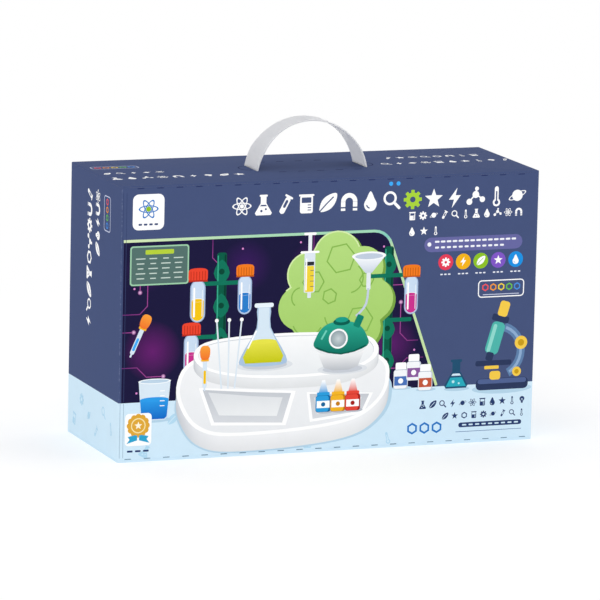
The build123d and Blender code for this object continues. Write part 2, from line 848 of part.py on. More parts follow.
dome_foot = pot_bowl_height + seat_gap
neck_foot = dome_foot + ball_width(pot_radius, pot_neck_radius)
neck_inner_foot = dome_foot + ball_width(pot_inner, pot_neck_radius - pot_wall)
neck_top = neck_foot + pot_neck_height
window_z = shelf_height + dome_foot + pot_window_gap + pot_window_rim + pot_window_radius
port_foot = shelf_height + dome_foot
with BuildPart() as pot_dome:
    with BuildSketch(pot_plane):
        with BuildLine():
            Line((0, dome_foot), (pot_radius, dome_foot))
            RadiusArc((pot_radius, dome_foot), (pot_neck_radius, neck_foot), -pot_radius)
            Line((pot_neck_radius, neck_foot), (pot_neck_radius, neck_top))
            Line((pot_neck_radius, neck_top), (0, neck_top))
            Line((0, neck_top), (0, dome_foot))
        make_face()
    revolve(axis=pot_axis)
    with BuildSketch(Plane.XZ.offset(-row_centre)):
        with Locations((pot_x, window_z)):
            Circle(pot_window_radius + pot_window_rim)
    extrude(amount=pot_window_reach)
    with BuildSketch(Plane.XY.offset(port_foot)):
        with Locations((pot_x + pot_port_offset, row_centre)):
            Circle(pot_port_radius)
    extrude(amount=pot_port_height)
    with BuildSketch(pot_plane):
        with BuildLine():
            Line((0, dome_foot), (pot_inner, dome_foot))
            RadiusArc(
                (pot_inner, dome_foot), (pot_neck_radius - pot_wall, neck_inner_foot), -pot_inner
            )
            Line((pot_neck_radius - pot_wall, neck_inner_foot), (pot_neck_radius - pot_wall, neck_top))
            Line((pot_neck_radius - pot_wall, neck_top), (0, neck_top))
            Line((0, neck_top), (0, dome_foot))
        make_face()
    revolve(axis=pot_axis, mode=Mode.SUBTRACT)
    with BuildSketch(Plane.XZ.offset(-row_centre + pot_window_reach)):
        with Locations((pot_x, window_z)):
            Circle(pot_window_radius)
    extrude(amount=-pot_window_reach, mode=Mode.SUBTRACT)
    with BuildSketch(Plane.XY.offset(port_foot)):
        with Locations((pot_x + pot_port_offset, row_centre)):
            Circle(pot_port_bore_radius)
    extrude(amount=pot_port_height, mode=Mode.SUBTRACT)
save(pot_dome.part, "pot_dome")

window_back = row_centre - pot_window_reach + pot_window_set_back + pot_window_thickness
with BuildPart() as pot_window:
    with BuildSketch(Plane.XZ.offset(-window_back)):
        with Locations((pot_x, window_z)):
            Circle(pot_window_radius - seat_gap)
    extrude(amount=pot_window_thickness)
save(pot_window.part, "pot_window")

# Test tubes: each hangs from the deck by its screw cap
large_tube_sizes = (large_tube_radius, large_tube_length, large_tube_wall)
small_tube_sizes = (small_tube_radius, small_tube_length, small_tube_wall)
tube_kinds = (
    ("large", large_tube_places, large_tube_sizes, large_cap_radius, large_cap_height),
    ("small", small_tube_places, small_tube_sizes, small_cap_radius, small_cap_height),
)
for kind, places, (tube_radius, tube_length, tube_wall), cap_radius, cap_height in tube_kinds:
    for number, (x, y) in enumerate(places, start=1):
        tube_plane = Plane((x, y, deck_height), x_dir=(1, 0, 0), z_dir=(0, -1, 0))
        tube_axis = Axis((x, y, 0), (0, 0, 1))
        mouth_radius = min(tube_radius, cap_radius - cap_wall) - cap_clearance
        mouth_height = cap_height - cap_wall - seat_gap
        with BuildPart() as tube:
            with BuildSketch(tube_plane):
                with BuildLine():
                    Line((mouth_radius, mouth_height), (mouth_radius, 0))
                    Line((mouth_radius, 0), (tube_radius, -seat_gap))
                    Line((tube_radius, -seat_gap), (tube_radius, tube_radius - tube_length))
                    RadiusArc(
                        (tube_radius, tube_radius - tube_length), (0, -tube_length), tube_radius
                    )
                    Line((0, -tube_length), (0, tube_wall - tube_length))
                    RadiusArc(
                        (0, tube_wall - tube_length),
                        (tube_radius - tube_wall, tube_radius - tube_length),
                        -(tube_radius - tube_wall),
                    )
                    Line(
                        (tube_radius - tube_wall, tube_radius - tube_length),
                        (tube_radius - tube_wall, -2 * tube_wall),
                    )
                    Line((tube_radius - tube_wall, -2 * tube_wall), (mouth_radius - tube_wall, 0))
                    Line((mouth_radius - tube_wall, 0), (mouth_radius - tube_wall, mouth_height))
                    Line((mouth_radius - tube_wall, mouth_height), (mouth_radius, mouth_height))
                make_face()
            revolve(axis=tube_axis)
        save(tube.part, f"{kind}_tube_{number}")
        with BuildPart() as cap:
            with BuildSketch(Plane.XY.offset(deck_height)):
                with Locations((x, y)):
                    Circle(cap_radius - cap_rib_radius)
                    with PolarLocations(cap_radius - cap_rib_radius, cap_rib_count):
                        Circle(cap_rib_radius)
            extrude(amount=cap_height)
            with BuildSketch(Plane.XY.offset(deck_height)):
                with Locations((x, y)):
                    Circle(mouth_radius + cap_clearance)
            extrude(amount=cap_height - cap_wall, mode=Mode.SUBTRACT)
        save(cap.part, f"{kind}_cap_{number}")

# Reagent bottles and their caps
reagent_shoulder_top = reagent_body_height + reagent_shoulder_height
with BuildPart() as reagent_bottles:
    for x, y in reagent_places:
        with BuildSketch(Plane((x, y, shelf_height), x_dir=(1, 0, 0), z_dir=(0, -1, 0))):
            with BuildLine():
                Polyline(
                    (0, 0),
                    (reagent_radius - reagent_foot_corner, 0),
                    (reagent_radius, reagent_foot_corner),
                    (reagent_radius, reagent_body_height),
                    (reagent_neck_radius + reagent_neck_flare, reagent_shoulder_top - reagent_neck_step),
                    (reagent_neck_radius, reagent_shoulder_top),
                    (reagent_neck_radius, reagent_shoulder_top + reagent_neck_height),
                    (0, reagent_shoulder_top + reagent_neck_height),
                    close=True,
                )
            make_face()
        revolve(axis=Axis((x, y, 0), (0, 0, 1)))
save(reagent_bottles.part, "reagent_bottles")

reagent_cap_level = shelf_height + reagent_shoulder_top + seat_gap
for number, (x, y) in enumerate(reagent_places, start=1):
    with BuildPart() as reagent_cap:
        with BuildSketch(Plane.XY.offset(reagent_cap_level)):
            with Locations((x, y)):
                Circle(reagent_cap_radius - cap_rib_radius)
                with PolarLocations(reagent_cap_radius - cap_rib_radius, cap_rib_count):
                    Circle(cap_rib_radius)
        extrude(amount=reagent_cap_height)
        with BuildSketch(Plane.XY.offset(reagent_cap_level)):
            with Locations((x, y)):
                Circle(reagent_neck_radius + cap_clearance)
        extrude(amount=reagent_neck_height, mode=Mode.SUBTRACT)
    save(reagent_cap.part, f"reagent_cap_{number}")

# Dye bottles and their pointed caps
dye_cap_level = shelf_height + dye_body_height + seat_gap
for (x, y), colour in zip(dye_places, ("blue", "yellow", "red")):
    dye_axis = Axis((x, y, 0), (0, 0, 1))
    with BuildPart() as dye_bottle:
        with BuildSketch(Plane((x, y, shelf_height), x_dir=(1, 0, 0), z_dir=(0, -1, 0))):
            with BuildLine():
                Polyline(
                    (0, 0),
                    (dye_radius - dye_foot_corner, 0),
                    (dye_radius, dye_foot_corner),
                    (dye_radius, dye_body_height - dye_shoulder_height),
                    (dye_radius - dye_shoulder_inset, dye_body_height),
                    (dye_neck_radius, dye_body_height),
                    (dye_neck_radius, dye_body_height + dye_neck_height),
                    (0, dye_body_height + dye_neck_height),
                    close=True,
                )
            make_face()
        revolve(axis=dye_axis)
    save(dye_bottle.part, f"dye_bottle_{colour}")
    with BuildPart() as dye_cap:
        with BuildSketch(Plane((x, y, dye_cap_level), x_dir=(1, 0, 0), z_dir=(0, -1, 0))):
            with BuildLine():
                Polyline(
                    (dye_neck_radius + cap_clearance, 0),
                    (dye_cap_radius, 0),
                    (dye_cap_radius, dye_cap_skirt_height),
                    (dye_cap_cone_radius, dye_cap_cone_height),
                    (dye_cap_tip_radius, dye_cap_height - dye_cap_tip_corner),
                    (dye_cap_tip_radius - dye_cap_tip_corner, dye_cap_height),
                    (0, dye_cap_height),
                    (0, dye_neck_height),
                    (dye_neck_radius + cap_clearance, dye_neck_height),
                    close=True,
                )
            make_face()
        revolve(axis=dye_axis)
    save(dye_cap.part, f"dye_cap_{colour}")

# Droppers: two barrels that hang by their bulbs
with BuildPart() as dropper_barrels:
    for x, y in dropper_places:
        with BuildSketch(Plane((x, y, deck_height), x_dir=(1, 0, 0), z_dir=(0, -1, 0))):
            with BuildLine():
                Polyline(
                    (dropper_radius, bulb_grip),
                    (dropper_radius, dropper_tip_length - dropper_length),
                    (dropper_tip_radius, -dropper_length),
                    (dropper_tip_radius - dropper_wall, -dropper_length),
                    (dropper_radius - dropper_wall, dropper_tip_length - dropper_length),
                    (dropper_radius - dropper_wall, bulb_grip),
                    close=True,
                )
            make_face()
        revolve(axis=Axis((x, y, 0), (0, 0, 1)))
save(dropper_barrels.part, "dropper_barrels")

bulb_bore = dropper_radius + cap_clearance
for (x, y), colour in zip(dropper_places, ("yellow", "red")):
    with BuildPart() as bulb:
        with BuildSketch(Plane((x, y, deck_height), x_dir=(1, 0, 0), z_dir=(0, -1, 0))):
            with BuildLine():
                Line((bulb_bore, 0), (bulb_collar_radius, 0))
                Line((bulb_collar_radius, 0), (bulb_collar_radius, bulb_collar_height))
                Line((bulb_collar_radius, bulb_collar_height), (bulb_waist_radius, bulb_grip))
                Line((bulb_waist_radius, bulb_grip), (bulb_radius, bulb_height - bulb_radius))
                RadiusArc((bulb_radius, bulb_height - bulb_radius), (0, bulb_height), -bulb_radius)
                Line((0, bulb_height), (0, bulb_grip + seat_gap))
                Line((0, bulb_grip + seat_gap), (bulb_bore, bulb_grip + seat_gap))
                Line((bulb_bore, bulb_grip + seat_gap), (bulb_bore, 0))
            make_face()
        revolve(axis=Axis((x, y, 0), (0, 0, 1)))
    save(bulb.part, f"dropper_bulb_{colour}")

# Syringe: the barrel hangs by its finger flange
syringe_axis = Axis((*syringe_place, 0), (0, 0, 1))
syringe_plane = Plane((*syringe_place, deck_height), x_dir=(1, 0, 0), z_dir=(0, -1, 0))
syringe_inner = syringe_radius - syringe_wall
with BuildPart() as syringe_barrel:
    with BuildSketch(syringe_plane):
        with BuildLine():
            Polyline(
                (syringe_radius, syringe_flange_thickness),
                (syringe_radius, -syringe_length),
                (syringe_tip_radius + syringe_shoulder_width, -syringe_length - syringe_shoulder_height),
                (syringe_tip_radius, -syringe_length - syringe_tip_length),
                (syringe_bore_radius, -syringe_length - syringe_tip_length),
                (syringe_bore_radius, -syringe_length),
                (syringe_inner, syringe_wall - syringe_length),
                (syringe_inner, syringe_flange_thickness),
                close=True,
            )
        make_face()
    revolve(axis=syringe_axis)
    with BuildSketch(Plane.XY.offset(deck_height)):
        with Locations(syringe_place):
            RectangleRounded(syringe_flange_width, syringe_flange_length, syringe_flange_corner)
            Circle(syringe_radius, mode=Mode.SUBTRACT)
    extrude(amount=syringe_flange_thickness)
save(syringe_barrel.part, "syringe_barrel")

seal_bottom = deck_height - syringe_length + syringe_wall + seat_gap
seal_top = seal_bottom + seal_height
thumb_level = deck_height + syringe_flange_thickness + plunger_stand
with BuildPart() as syringe_plunger:
    with BuildSketch(Plane.XY.offset(seal_top)):
        with Locations(syringe_place):
            Rectangle(2 * plunger_radius, plunger_rib)
            Rectangle(plunger_rib, 2 * plunger_radius)
    extrude(amount=thumb_level - seal_top)
    with BuildSketch(Plane.XY.offset(thumb_level)):
        with Locations(syringe_place):
            Circle(plunger_thumb_radius)
    extrude(amount=plunger_thumb_thickness)
save(syringe_plunger.part, "syringe_plunger")

with BuildPart() as plunger_seal:
    with BuildSketch(Plane((*syringe_place, seal_bottom), x_dir=(1, 0, 0), z_dir=(0, -1, 0))):
        with BuildLine():
            Polyline(
                (0, 0),
                (syringe_inner - seal_clearance - seal_nose_inset, 0),
                (syringe_inner - seal_clearance, seal_nose_height),
                (syringe_inner - seal_clearance, seal_height),
                (0, seal_height),
                close=True,
            )
        make_face()
    revolve(axis=syringe_axis)
save(plunger_seal.part, "plunger_seal")

# Stirring rod, spoon and clear sticks
with BuildPart() as stirring_rod:
    with BuildSketch(Plane.XY.offset(deck_height - rod_length)):
        with Locations(rod_place):
            Circle(rod_radius)
    extrude(amount=rod_length)
    with BuildSketch(Plane.XY.offset(deck_height)):
        with Locations(rod_place):
            Circle(rod_head_radius)
    extrude(amount=2 * rod_head_radius)
    fillet(stirring_rod.faces().filter_by(Axis.Z).sort_by(Axis.Z)[-1].edges(), radius=rod_head_radius * 0.6)
save(stirring_rod.part, "stirring_rod")

with BuildPart() as measuring_spoon:
    with BuildSketch(Plane.XY.offset(deck_height - rod_length)):
        with Locations(spoon_place):
            Circle(rod_radius)
    extrude(amount=rod_length + rod_head_radius)
    with BuildSketch(Plane.XZ.offset(-spoon_place[1] - spoon_bowl_thickness / 2)):
        with Locations((spoon_place[0], deck_height + spoon_bowl_radius)):
            Circle(spoon_bowl_radius)
    extrude(amount=spoon_bowl_thickness)
    with BuildSketch(Plane.XZ.offset(-spoon_place[1] + spoon_bowl_thickness / 2)):
        with Locations((spoon_place[0], deck_height + spoon_bowl_radius)):
            Circle(spoon_bowl_radius - spoon_bowl_wall)
    extrude(amount=-spoon_bowl_thickness / 2, mode=Mode.SUBTRACT)
save(measuring_spoon.part, "measuring_spoon")

with BuildPart() as clear_sticks:
    with BuildSketch(Plane.XY.offset(floor_level)):
        with Locations(*stick_places):
            Circle(stick_radius)
    extrude(amount=stick_length)
save(clear_sticks.part, "clear_sticks")
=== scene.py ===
"""A boxed science kit: its printed board carton, its plastic strap and the apparatus packed in it."""

import json
import math

import bmesh
import bpy
from mathutils import Matrix, Vector


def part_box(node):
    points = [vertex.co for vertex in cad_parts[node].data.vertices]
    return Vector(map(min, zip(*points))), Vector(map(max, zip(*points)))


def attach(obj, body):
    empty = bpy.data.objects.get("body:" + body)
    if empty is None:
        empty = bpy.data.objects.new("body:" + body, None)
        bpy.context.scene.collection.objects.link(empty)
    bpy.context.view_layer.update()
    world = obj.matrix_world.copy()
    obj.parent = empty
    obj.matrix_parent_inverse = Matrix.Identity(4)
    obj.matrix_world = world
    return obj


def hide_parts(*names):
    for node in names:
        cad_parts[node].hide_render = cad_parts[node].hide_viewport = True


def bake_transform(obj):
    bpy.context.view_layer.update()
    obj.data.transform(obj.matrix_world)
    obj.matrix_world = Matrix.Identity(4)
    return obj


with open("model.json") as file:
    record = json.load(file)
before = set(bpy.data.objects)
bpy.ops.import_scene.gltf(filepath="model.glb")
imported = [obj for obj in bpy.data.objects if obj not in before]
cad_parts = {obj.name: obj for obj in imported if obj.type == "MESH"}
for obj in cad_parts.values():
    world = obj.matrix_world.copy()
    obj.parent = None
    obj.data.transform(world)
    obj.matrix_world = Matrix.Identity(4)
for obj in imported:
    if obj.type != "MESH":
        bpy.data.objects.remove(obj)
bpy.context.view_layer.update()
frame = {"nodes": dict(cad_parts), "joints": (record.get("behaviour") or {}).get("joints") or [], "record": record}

bl_info = {
    "name": "Boxed science kit",
    "version": (1, 0, 0),
    "blender": (4, 5, 0),
    "location": "View3D > Sidebar > Science kit",
    "description": "Builds the carton, its print, its strap and the finish of the apparatus",
    "category": "Object",
}

MM = 0.001

# The carton's own faces, from the frame
sleeve_low, sleeve_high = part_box("carton_sleeve")
lid_low, lid_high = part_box("top_lid")
strap_low, strap_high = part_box("handle_strap")
half_width = lid_high.x
half_depth = lid_high.y
carton_top = lid_high.z
lid_under = lid_low.z
board = carton_top - lid_under

# The print lies in thin layers between the board's face and the carton's own box
print_depth = 0.3 * MM
ink_layer = 0.03 * MM
face_x = half_width - print_depth
face_y = half_depth - print_depth
face_z = carton_top - print_depth

# The board: its fold radius, the pitch of E-flute, the fluting's browns, the darker of which also serves as
# painted shade in the hollows of a cut edge, and the liner's darker fibres
fold_radius = 1.6 * MM
flute_pitch = 3.2 * MM
core_shades = ("#8C7A5F", "#D8CBB2")
liner_fibre = "#BCAE94"

# Inks used in more than one place
white = "#FFFFFF"
ground_ink = "#46537A"
dark_ink = "#2B3D6B"
doodle_ink = "#B3D9EF"
shadow_ink = "#B4D3E7"
atom_ink = "#2476C4"
edge_green = "#D3E5B5"
gold = "#E0A83A"
frame_grey = "#C8CEE6"
spectrum = ("#F0565B", "#F59A33", "#F5D63A", "#6CC04A", "#4A90E2")


def linear(code):
    """Linear red, green, blue and alpha of an sRGB hex value."""
    parts = [int(code[i : i + 2], 16) / 255 for i in (1, 3, 5)]
    return [c / 12.92 if c <= 0.04045 else ((c + 0.055) / 1.055) ** 2.4 for c in parts] + [1.0]


def add_node(tree, kind, given):
    """Adds a node and sets its properties and inputs. A node or an output that is given is linked."""
    made = tree.nodes.new("ShaderNode" + kind)
    for name, value in given.items():
        if isinstance(value, bpy.types.Node):
            value = next(output for output in value.outputs if output.enabled)
        if isinstance(name, str) and name not in made.inputs:
            setattr(made, name, value)
        elif isinstance(value, bpy.types.NodeSocket):
            tree.links.new(value, made.inputs[name])
        else:
            made.inputs[name].default_value = linear(value) if str(value).startswith("#") else value
    return made


def new_material(name, slot=None):
    """An empty material, its tree and the place of a point in its piece, in metres."""
    made = bpy.data.materials.new(name)
    made.use_nodes = True
    made.node_tree.nodes.clear()
    if slot:
        made["record_slot"] = slot
    place = add_node(made.node_tree, "TexCoord", {})
    return made, made.node_tree, place.outputs["Object"]


def surface(made, height, depth, given):
    """Ends a material: a shader with these settings, over a relief as deep as given."""
    tree = made.node_tree
    relief = add_node(tree, "Bump", {"Height": height, "Distance": depth})
    shader = add_node(tree, "BsdfPrincipled", {**given, "Normal": relief})
    add_node(tree, "OutputMaterial", {"Surface": shader})
    return made


def clouded(tree, point, scale, detail, colours, distortion=0.0):
    """A noise, and two colours mixed by it."""
    noise = add_node(
        tree, "TexNoise", {"Vector": point, "Scale": scale, "Detail": detail, "Distortion": distortion}
    )
    return noise, add_node(tree, "Mix", {"data_type": "RGBA", "Factor": noise, 6: colours[0], 7: colours[1]})


def mottled(tree, point, colour, dark, light):
    """The uneven lay of offset ink, 17 mm across: its noise, and a colour shaded a little by it."""
    noise = add_node(tree, "TexNoise", {"Vector": point, "Scale": 60.0, "Detail": 4.0})
    shade = add_node(tree, "MapRange", {"Value": noise, "To Min": dark, "To Max": light})
    mix = {"data_type": "RGBA", "blend_type": "MULTIPLY", "Factor": 1.0, 6: colour, 7: shade}
    return noise, add_node(tree, "Mix", mix)


def board_relief(tree, point):
    """Height of coated E-flute board: flutes that show through faintly, and a wavy sheet."""
    # A wave turns 20 radians in a unit, so this draws one in 20 mm. At the real pitch it would be too fine
    flutes = add_node(
        tree,
        "TexWave",
        {"Vector": point, "Scale": 1 / (20 * flute_pitch), "bands_direction": "X", "Distortion": 0.4},
    )
    waves = add_node(tree, "TexNoise", {"Vector": point, "Scale": 9.0, "Detail": 1.0})
    faint = add_node(tree, "Math", {"operation": "MULTIPLY", 0: flutes.outputs["Fac"], 1: 0.04})
    return add_node(tree, "Math", {"operation": "ADD", 0: faint, 1: waves})


def paper_relief(tree, point):
    """Height of a coated label: a very faint grain, drawn 0.8 mm wide where a real one is under 0.1 mm."""
    grain = add_node(tree, "TexNoise", {"Vector": point, "Scale": 1 / (0.8 * MM), "Detail": 2.0})
    return add_node(tree, "Math", {"operation": "MULTIPLY", 0: grain, 1: 0.04})


class BoardLook(bpy.types.PropertyGroup):
    """Colours of the carton's board."""

    ground: bpy.props.StringProperty(
        name="Ground", description="Ink that covers the carton above the band", default=ground_ink
    )
    band: bpy.props.StringProperty(
        name="Band", description="Pale ink round the foot of the carton", default="#D1E9F8"
    )
    liner: bpy.props.StringProperty(
        name="Liner", description="Uncoated inside of the board", default="#CDBFA6"
    )
    band_height: bpy.props.FloatProperty(
        name="Band height", description="Top of the pale band", default=60.6 * MM, unit="LENGTH"
    )


class StrapLook(bpy.types.PropertyGroup):
    """Size and colour of the carry strap."""

    colour: bpy.props.StringProperty(
        name="Colour", description="Milky polyethylene", default="#FDFDFB"
    )
    pitch: bpy.props.FloatProperty(
        name="Pitch", description="Distance between the strap's feet", default=118 * MM, unit="LENGTH"
    )
    top_width: bpy.props.FloatProperty(
        name="Top width", description="Width at the strap's highest point", default=28 * MM, unit="LENGTH"
    )
    thickness: bpy.props.FloatProperty(
        name="Thickness", description="Thickness of the strap", default=1.6 * MM, unit="LENGTH"
    )
    slit_width: bpy.props.FloatProperty(
        name="Slit", description="Width of the slit for the strap", default=2.4 * MM, unit="LENGTH"
    )


def printed_board():
    """Coated E-flute board, offset printed and varnished: satin, with a faint washboard and rubbed edges."""
    look = bpy.context.scene.kit_board
    made, tree, point = new_material("offset_printed_coated_board", "carton_board")
    parts = add_node(tree, "SeparateXYZ", {"Vector": point})
    above = add_node(tree, "Math", {"operation": "GREATER_THAN", 0: parts.outputs["Z"], 1: look.band_height})
    ground = add_node(tree, "Mix", {"data_type": "RGBA", "Factor": above, 6: look.band, 7: look.ground})
    mottle, inked = mottled(tree, point, ground, 0.96, 1.03)
    # The varnish wears to pale fibre where the carton's upright corners rub, in specks 2 to 3 mm wide
    near = []
    for axis, half in (("X", half_width), ("Y", half_depth)):
        size = add_node(tree, "Math", {"operation": "ABSOLUTE", 0: parts.outputs[axis]})
        rubbed = {"Value": size, "From Min": half - 3.2 * MM, "From Max": half - 0.9 * MM}
        near.append(add_node(tree, "MapRange", rubbed))
    corner = add_node(tree, "Math", {"operation": "MULTIPLY", 0: near[0], 1: near[1]})
    specks = add_node(tree, "TexNoise", {"Vector": point, "Scale": 420.0, "Detail": 3.0})
    worn = add_node(tree, "Math", {"operation": "MULTIPLY", 0: corner, 1: specks})
    worn = add_node(tree, "MapRange", {"Value": worn, "From Min": 0.42, "From Max": 0.62, "To Max": 0.14})
    colour = add_node(tree, "Mix", {"data_type": "RGBA", "Factor": worn, 6: inked, 7: "#B9C3DA"})
    rough = add_node(tree, "MapRange", {"Value": mottle, "To Min": 0.66, "To Max": 0.74})
    finish = {"Base Color": colour, "Roughness": rough, "IOR": 1.5, "Specular IOR Level": 0.03}
    return surface(made, board_relief(tree, point), 0.5 * MM, finish)


def fibrous_board(name, slot, fibre, cloud_scale, share, colours, rough, depth):
    """Uncoated board: matt, with short fibres and wide clouds between two shades."""
    made, tree, point = new_material(name, slot)
    scale, detail, harshness = fibre
    fibres = add_node(
        tree, "TexNoise", {"Vector": point, "Scale": scale, "Detail": detail, "Roughness": harshness}
    )
    clouds = add_node(tree, "TexNoise", {"Vector": point, "Scale": cloud_scale, "Detail": 3.0})
    both = add_node(tree, "Math", {"operation": "MULTIPLY", 0: fibres, 1: clouds})
    ramp = add_node(tree, "MapRange", {"Value": both, "From Min": share[0], "From Max": share[1]})
    colour = add_node(tree, "Mix", {"data_type": "RGBA", "Factor": ramp, 6: colours[0], 7: colours[1]})
    return surface(made, fibres, depth, {"Base Color": colour, "Roughness": rough, "Specular IOR Level": 0.3})


def board_liner():
    """Uncoated test liner on the board's inside: matt, warm grey-brown, with fibres about 1 mm long."""
    shades = (liner_fibre, bpy.context.scene.kit_board.liner)
    return fibrous_board(
        "uncoated_test_liner", "inner_board", (900.0, 5.0, 0.7), 35.0, (0.05, 0.45), shades, 0.85, 0.06 * MM
    )


def fitment_card():
    """White-lined folding card: matt and slightly warm, with fine fibres in clouds of a faint grey."""
    shades = ("#D9D5CC", "#ECE9E2")
    return fibrous_board(
        "white_lined_folding_card", "fitment_card", (800.0, 4.0, 0.65), 30.0, (0.1, 0.4), shades, 0.8,
        0.04 * MM,
    )


def fluted_edge():
    """Cut edge of E-flute board: brown, with the wave of the fluting along it at its real pitch, and painted shade
    that darkens it where the wave dips.
    """
    made, tree, point = new_material("cut_edge_of_fluted_board", "inner_board")
    parts = add_node(tree, "SeparateXYZ", {"Vector": point})
    along = add_node(tree, "Math", {"operation": "ADD", 0: parts.outputs["X"], 1: parts.outputs["Y"]})
    turns = add_node(tree, "Math", {"operation": "MULTIPLY", 0: along, 1: 2 * math.pi / flute_pitch})
    wave = add_node(tree, "Math", {"operation": "SINE", 0: turns})
    grain = add_node(tree, "TexNoise", {"Vector": point, "Scale": 700.0, "Detail": 3.0})
    height = add_node(tree, "Math", {"operation": "MULTIPLY_ADD", 0: wave, 1: 0.35, 2: grain})
    # Painted shade: the colour follows the relief, darker in the hollows between the flutes, while the grain gives
    # the fibre's own mottle
    colour = add_node(
        tree, "Mix", {"data_type": "RGBA", "Factor": height, 6: core_shades[0], 7: core_shades[1]}
    )
    return surface(made, height, 0.25 * MM, {"Base Color": colour, "Roughness": 0.9})


def flap_board(name, axis, outside, inside, crease=None):
    """A flap of the carton's board: ink on its outer face, plain liner inside and brown cut edges."""
    look = bpy.context.scene.kit_board
    made, tree, point = new_material(name, "carton_board")
    parts = add_node(tree, "SeparateXYZ", {"Vector": point})
    # 0 on the liner and 1 on the ink; over a rounded crease the ink goes on
    level = add_node(
        tree, "MapRange", {"Value": parts.outputs[axis], "From Min": inside, "From Max": outside}
    )
    if crease:
        rounding = {"Value": parts.outputs["Z"], "From Min": crease, "From Max": crease + 0.6 * MM}
        over = add_node(tree, "MapRange", rounding)
        level = add_node(tree, "Math", {"operation": "ADD", 0: level, 1: over})
    printed = add_node(tree, "Math", {"operation": "GREATER_THAN", 0: level, 1: 0.93})
    plain = add_node(tree, "Math", {"operation": "LESS_THAN", 0: level, 1: 0.07})
    core = clouded(tree, point, 700.0, 4.0, core_shades)[1]
    liner = clouded(tree, point, 35.0, 3.0, (liner_fibre, look.liner))[1]
    bare = add_node(tree, "Mix", {"data_type": "RGBA", "Factor": plain, 6: core, 7: liner})
    colour = add_node(tree, "Mix", {"data_type": "RGBA", "Factor": printed, 6: bare, 7: look.ground})
    rough = add_node(tree, "MapRange", {"Value": printed, "To Min": 0.86, "To Max": 0.7})
    finish = {"Base Color": colour, "Roughness": rough, "IOR": 1.5, "Specular IOR Level": 0.08}
    return surface(made, board_relief(tree, point), 0.5 * MM, finish)


def strap_plastic():
    """Rolled milky polyethylene: soft, waxy and slightly see-through, with fine lengthways lines."""
    made, tree, point = new_material("milky_polyethylene_strap", "strap_plastic")
    # Lines 2 mm apart across the strap and 40 mm long, where real rolling lines are under 0.5 mm apart
    stretched = add_node(tree, "Mapping", {"Vector": point, "Scale": (25, 500, 25)})
    lines = add_node(tree, "TexNoise", {"Vector": stretched, "Scale": 1.0, "Detail": 2.0})
    colour = clouded(tree, point, 70.0, 2.0, ("#F6F7F5", bpy.context.scene.kit_strap.colour))[1]
    finish = {
        "Base Color": colour,
        "Roughness": 0.38,
        "IOR": 1.51,
        "Subsurface Weight": 1.0,
        "Subsurface Radius": (1.0, 1.0, 1.0),
        "Subsurface Scale": 12 * MM,
    }
    return surface(made, lines, 0.008 * MM, finish)


def printing_ink(name, slot, rough, level, relief):
    """Ink: its colour is the print's own attribute, and its relief that of what lies under it."""
    made, tree, point = new_material(name, slot)
    ink = add_node(tree, "Attribute", {"attribute_name": "ink"})
    colour = mottled(tree, point, ink, 0.97, 1.02)[1]
    finish = {"Base Color": colour, "Roughness": rough, "IOR": 1.5, "Specular IOR Level": level}
    return surface(made, relief(tree, point), 0.5 * MM, finish)


def moulded_plastic(name, slot, colour, dark, rough):
    """Injection-moulded plastic: a soft even gloss, flow clouds 22 mm wide and a grain drawn 0.9 mm wide."""
    made, tree, point = new_material(name, slot)
    flow, tint = clouded(tree, point, 45.0, 3.0, (dark, colour), distortion=0.6)
    grain = add_node(tree, "TexNoise", {"Vector": point, "Scale": 1 / (0.9 * MM), "Detail": 2.0})
    gloss = add_node(tree, "MapRange", {"Value": flow, "To Min": rough - 0.05, "To Max": rough + 0.08})
    return surface(made, grain, 0.02 * MM, {"Base Color": tint, "Roughness": gloss, "IOR": 1.5})


def clear_plastic():
    """Clear moulded polystyrene: glossy and colourless, with faint flow ripples 17 mm wide."""
    made, tree, point = new_material("clear_moulded_polystyrene", "clear_plastic")
    ripple = add_node(
        tree, "TexNoise", {"Vector": point, "Scale": 60.0, "Detail": 1.0, "Distortion": 0.4}
    )
    gloss = add_node(tree, "MapRange", {"Value": ripple, "To Min": 0.03, "To Max": 0.1})
    finish = {"Base Color": "#F4F9FB", "Roughness": gloss, "IOR": 1.49, "Transmission Weight": 0.95}
    return surface(made, ripple, 0.1 * MM, finish)


def booklet_paper():
    """Coated booklet paper: satin and white, with a pale blue foot and a dark head printed right across."""
    foot_top, head_low = 60 * MM, 205 * MM
    made, tree, point = new_material("coated_booklet_paper", "booklet_paper")
    height = add_node(tree, "SeparateXYZ", {"Vector": point}).outputs["Z"]
    foot = add_node(tree, "Math", {"operation": "LESS_THAN", 0: height, 1: foot_top})
    head = add_node(tree, "Math", {"operation": "GREATER_THAN", 0: height, 1: head_low})
    base = add_node(tree, "Mix", {"data_type": "RGBA", "Factor": foot, 6: "#F6F6F2", 7: "#BFE0F2"})
    cover = add_node(tree, "Mix", {"data_type": "RGBA", "Factor": head, 6: base, 7: ground_ink})
    grain = add_node(tree, "TexNoise", {"Vector": point, "Scale": 600.0, "Detail": 2.0})
    return surface(made, grain, 0.02 * MM, {"Base Color": cover, "Roughness": 0.4})


def chart_face():
    """Screen-printed polystyrene sheet: satin and dark green-grey, with faint clouds in the ink."""
    made, tree, point = new_material("screen_printed_sheet", "chart_face")
    cloud, tint = clouded(tree, point, 90.0, 3.0, ("#2C4741", "#35544C"))
    return surface(made, cloud, 0.02 * MM, {"Base Color": tint, "Roughness": 0.45})


def select_only(piece):
    """Deselects everything, then selects one piece and makes it active."""
    bpy.ops.object.select_all(action="DESELECT")
    piece.select_set(True)
    bpy.context.view_layer.objects.active = piece


def start_piece(name, primitive, **given):
    """Adds a primitive in object mode, alone in the selection, and names it."""
    bpy.ops.object.select_all(action="DESELECT")
    primitive(**given)
    piece = bpy.context.object
    piece.name = name
    piece.data.name = name
    return piece


def start_box(name, middle, size):
    """Adds a box of this size round its middle."""
    return start_piece(name, bpy.ops.mesh.primitive_cube_add, size=1, location=middle, scale=size)


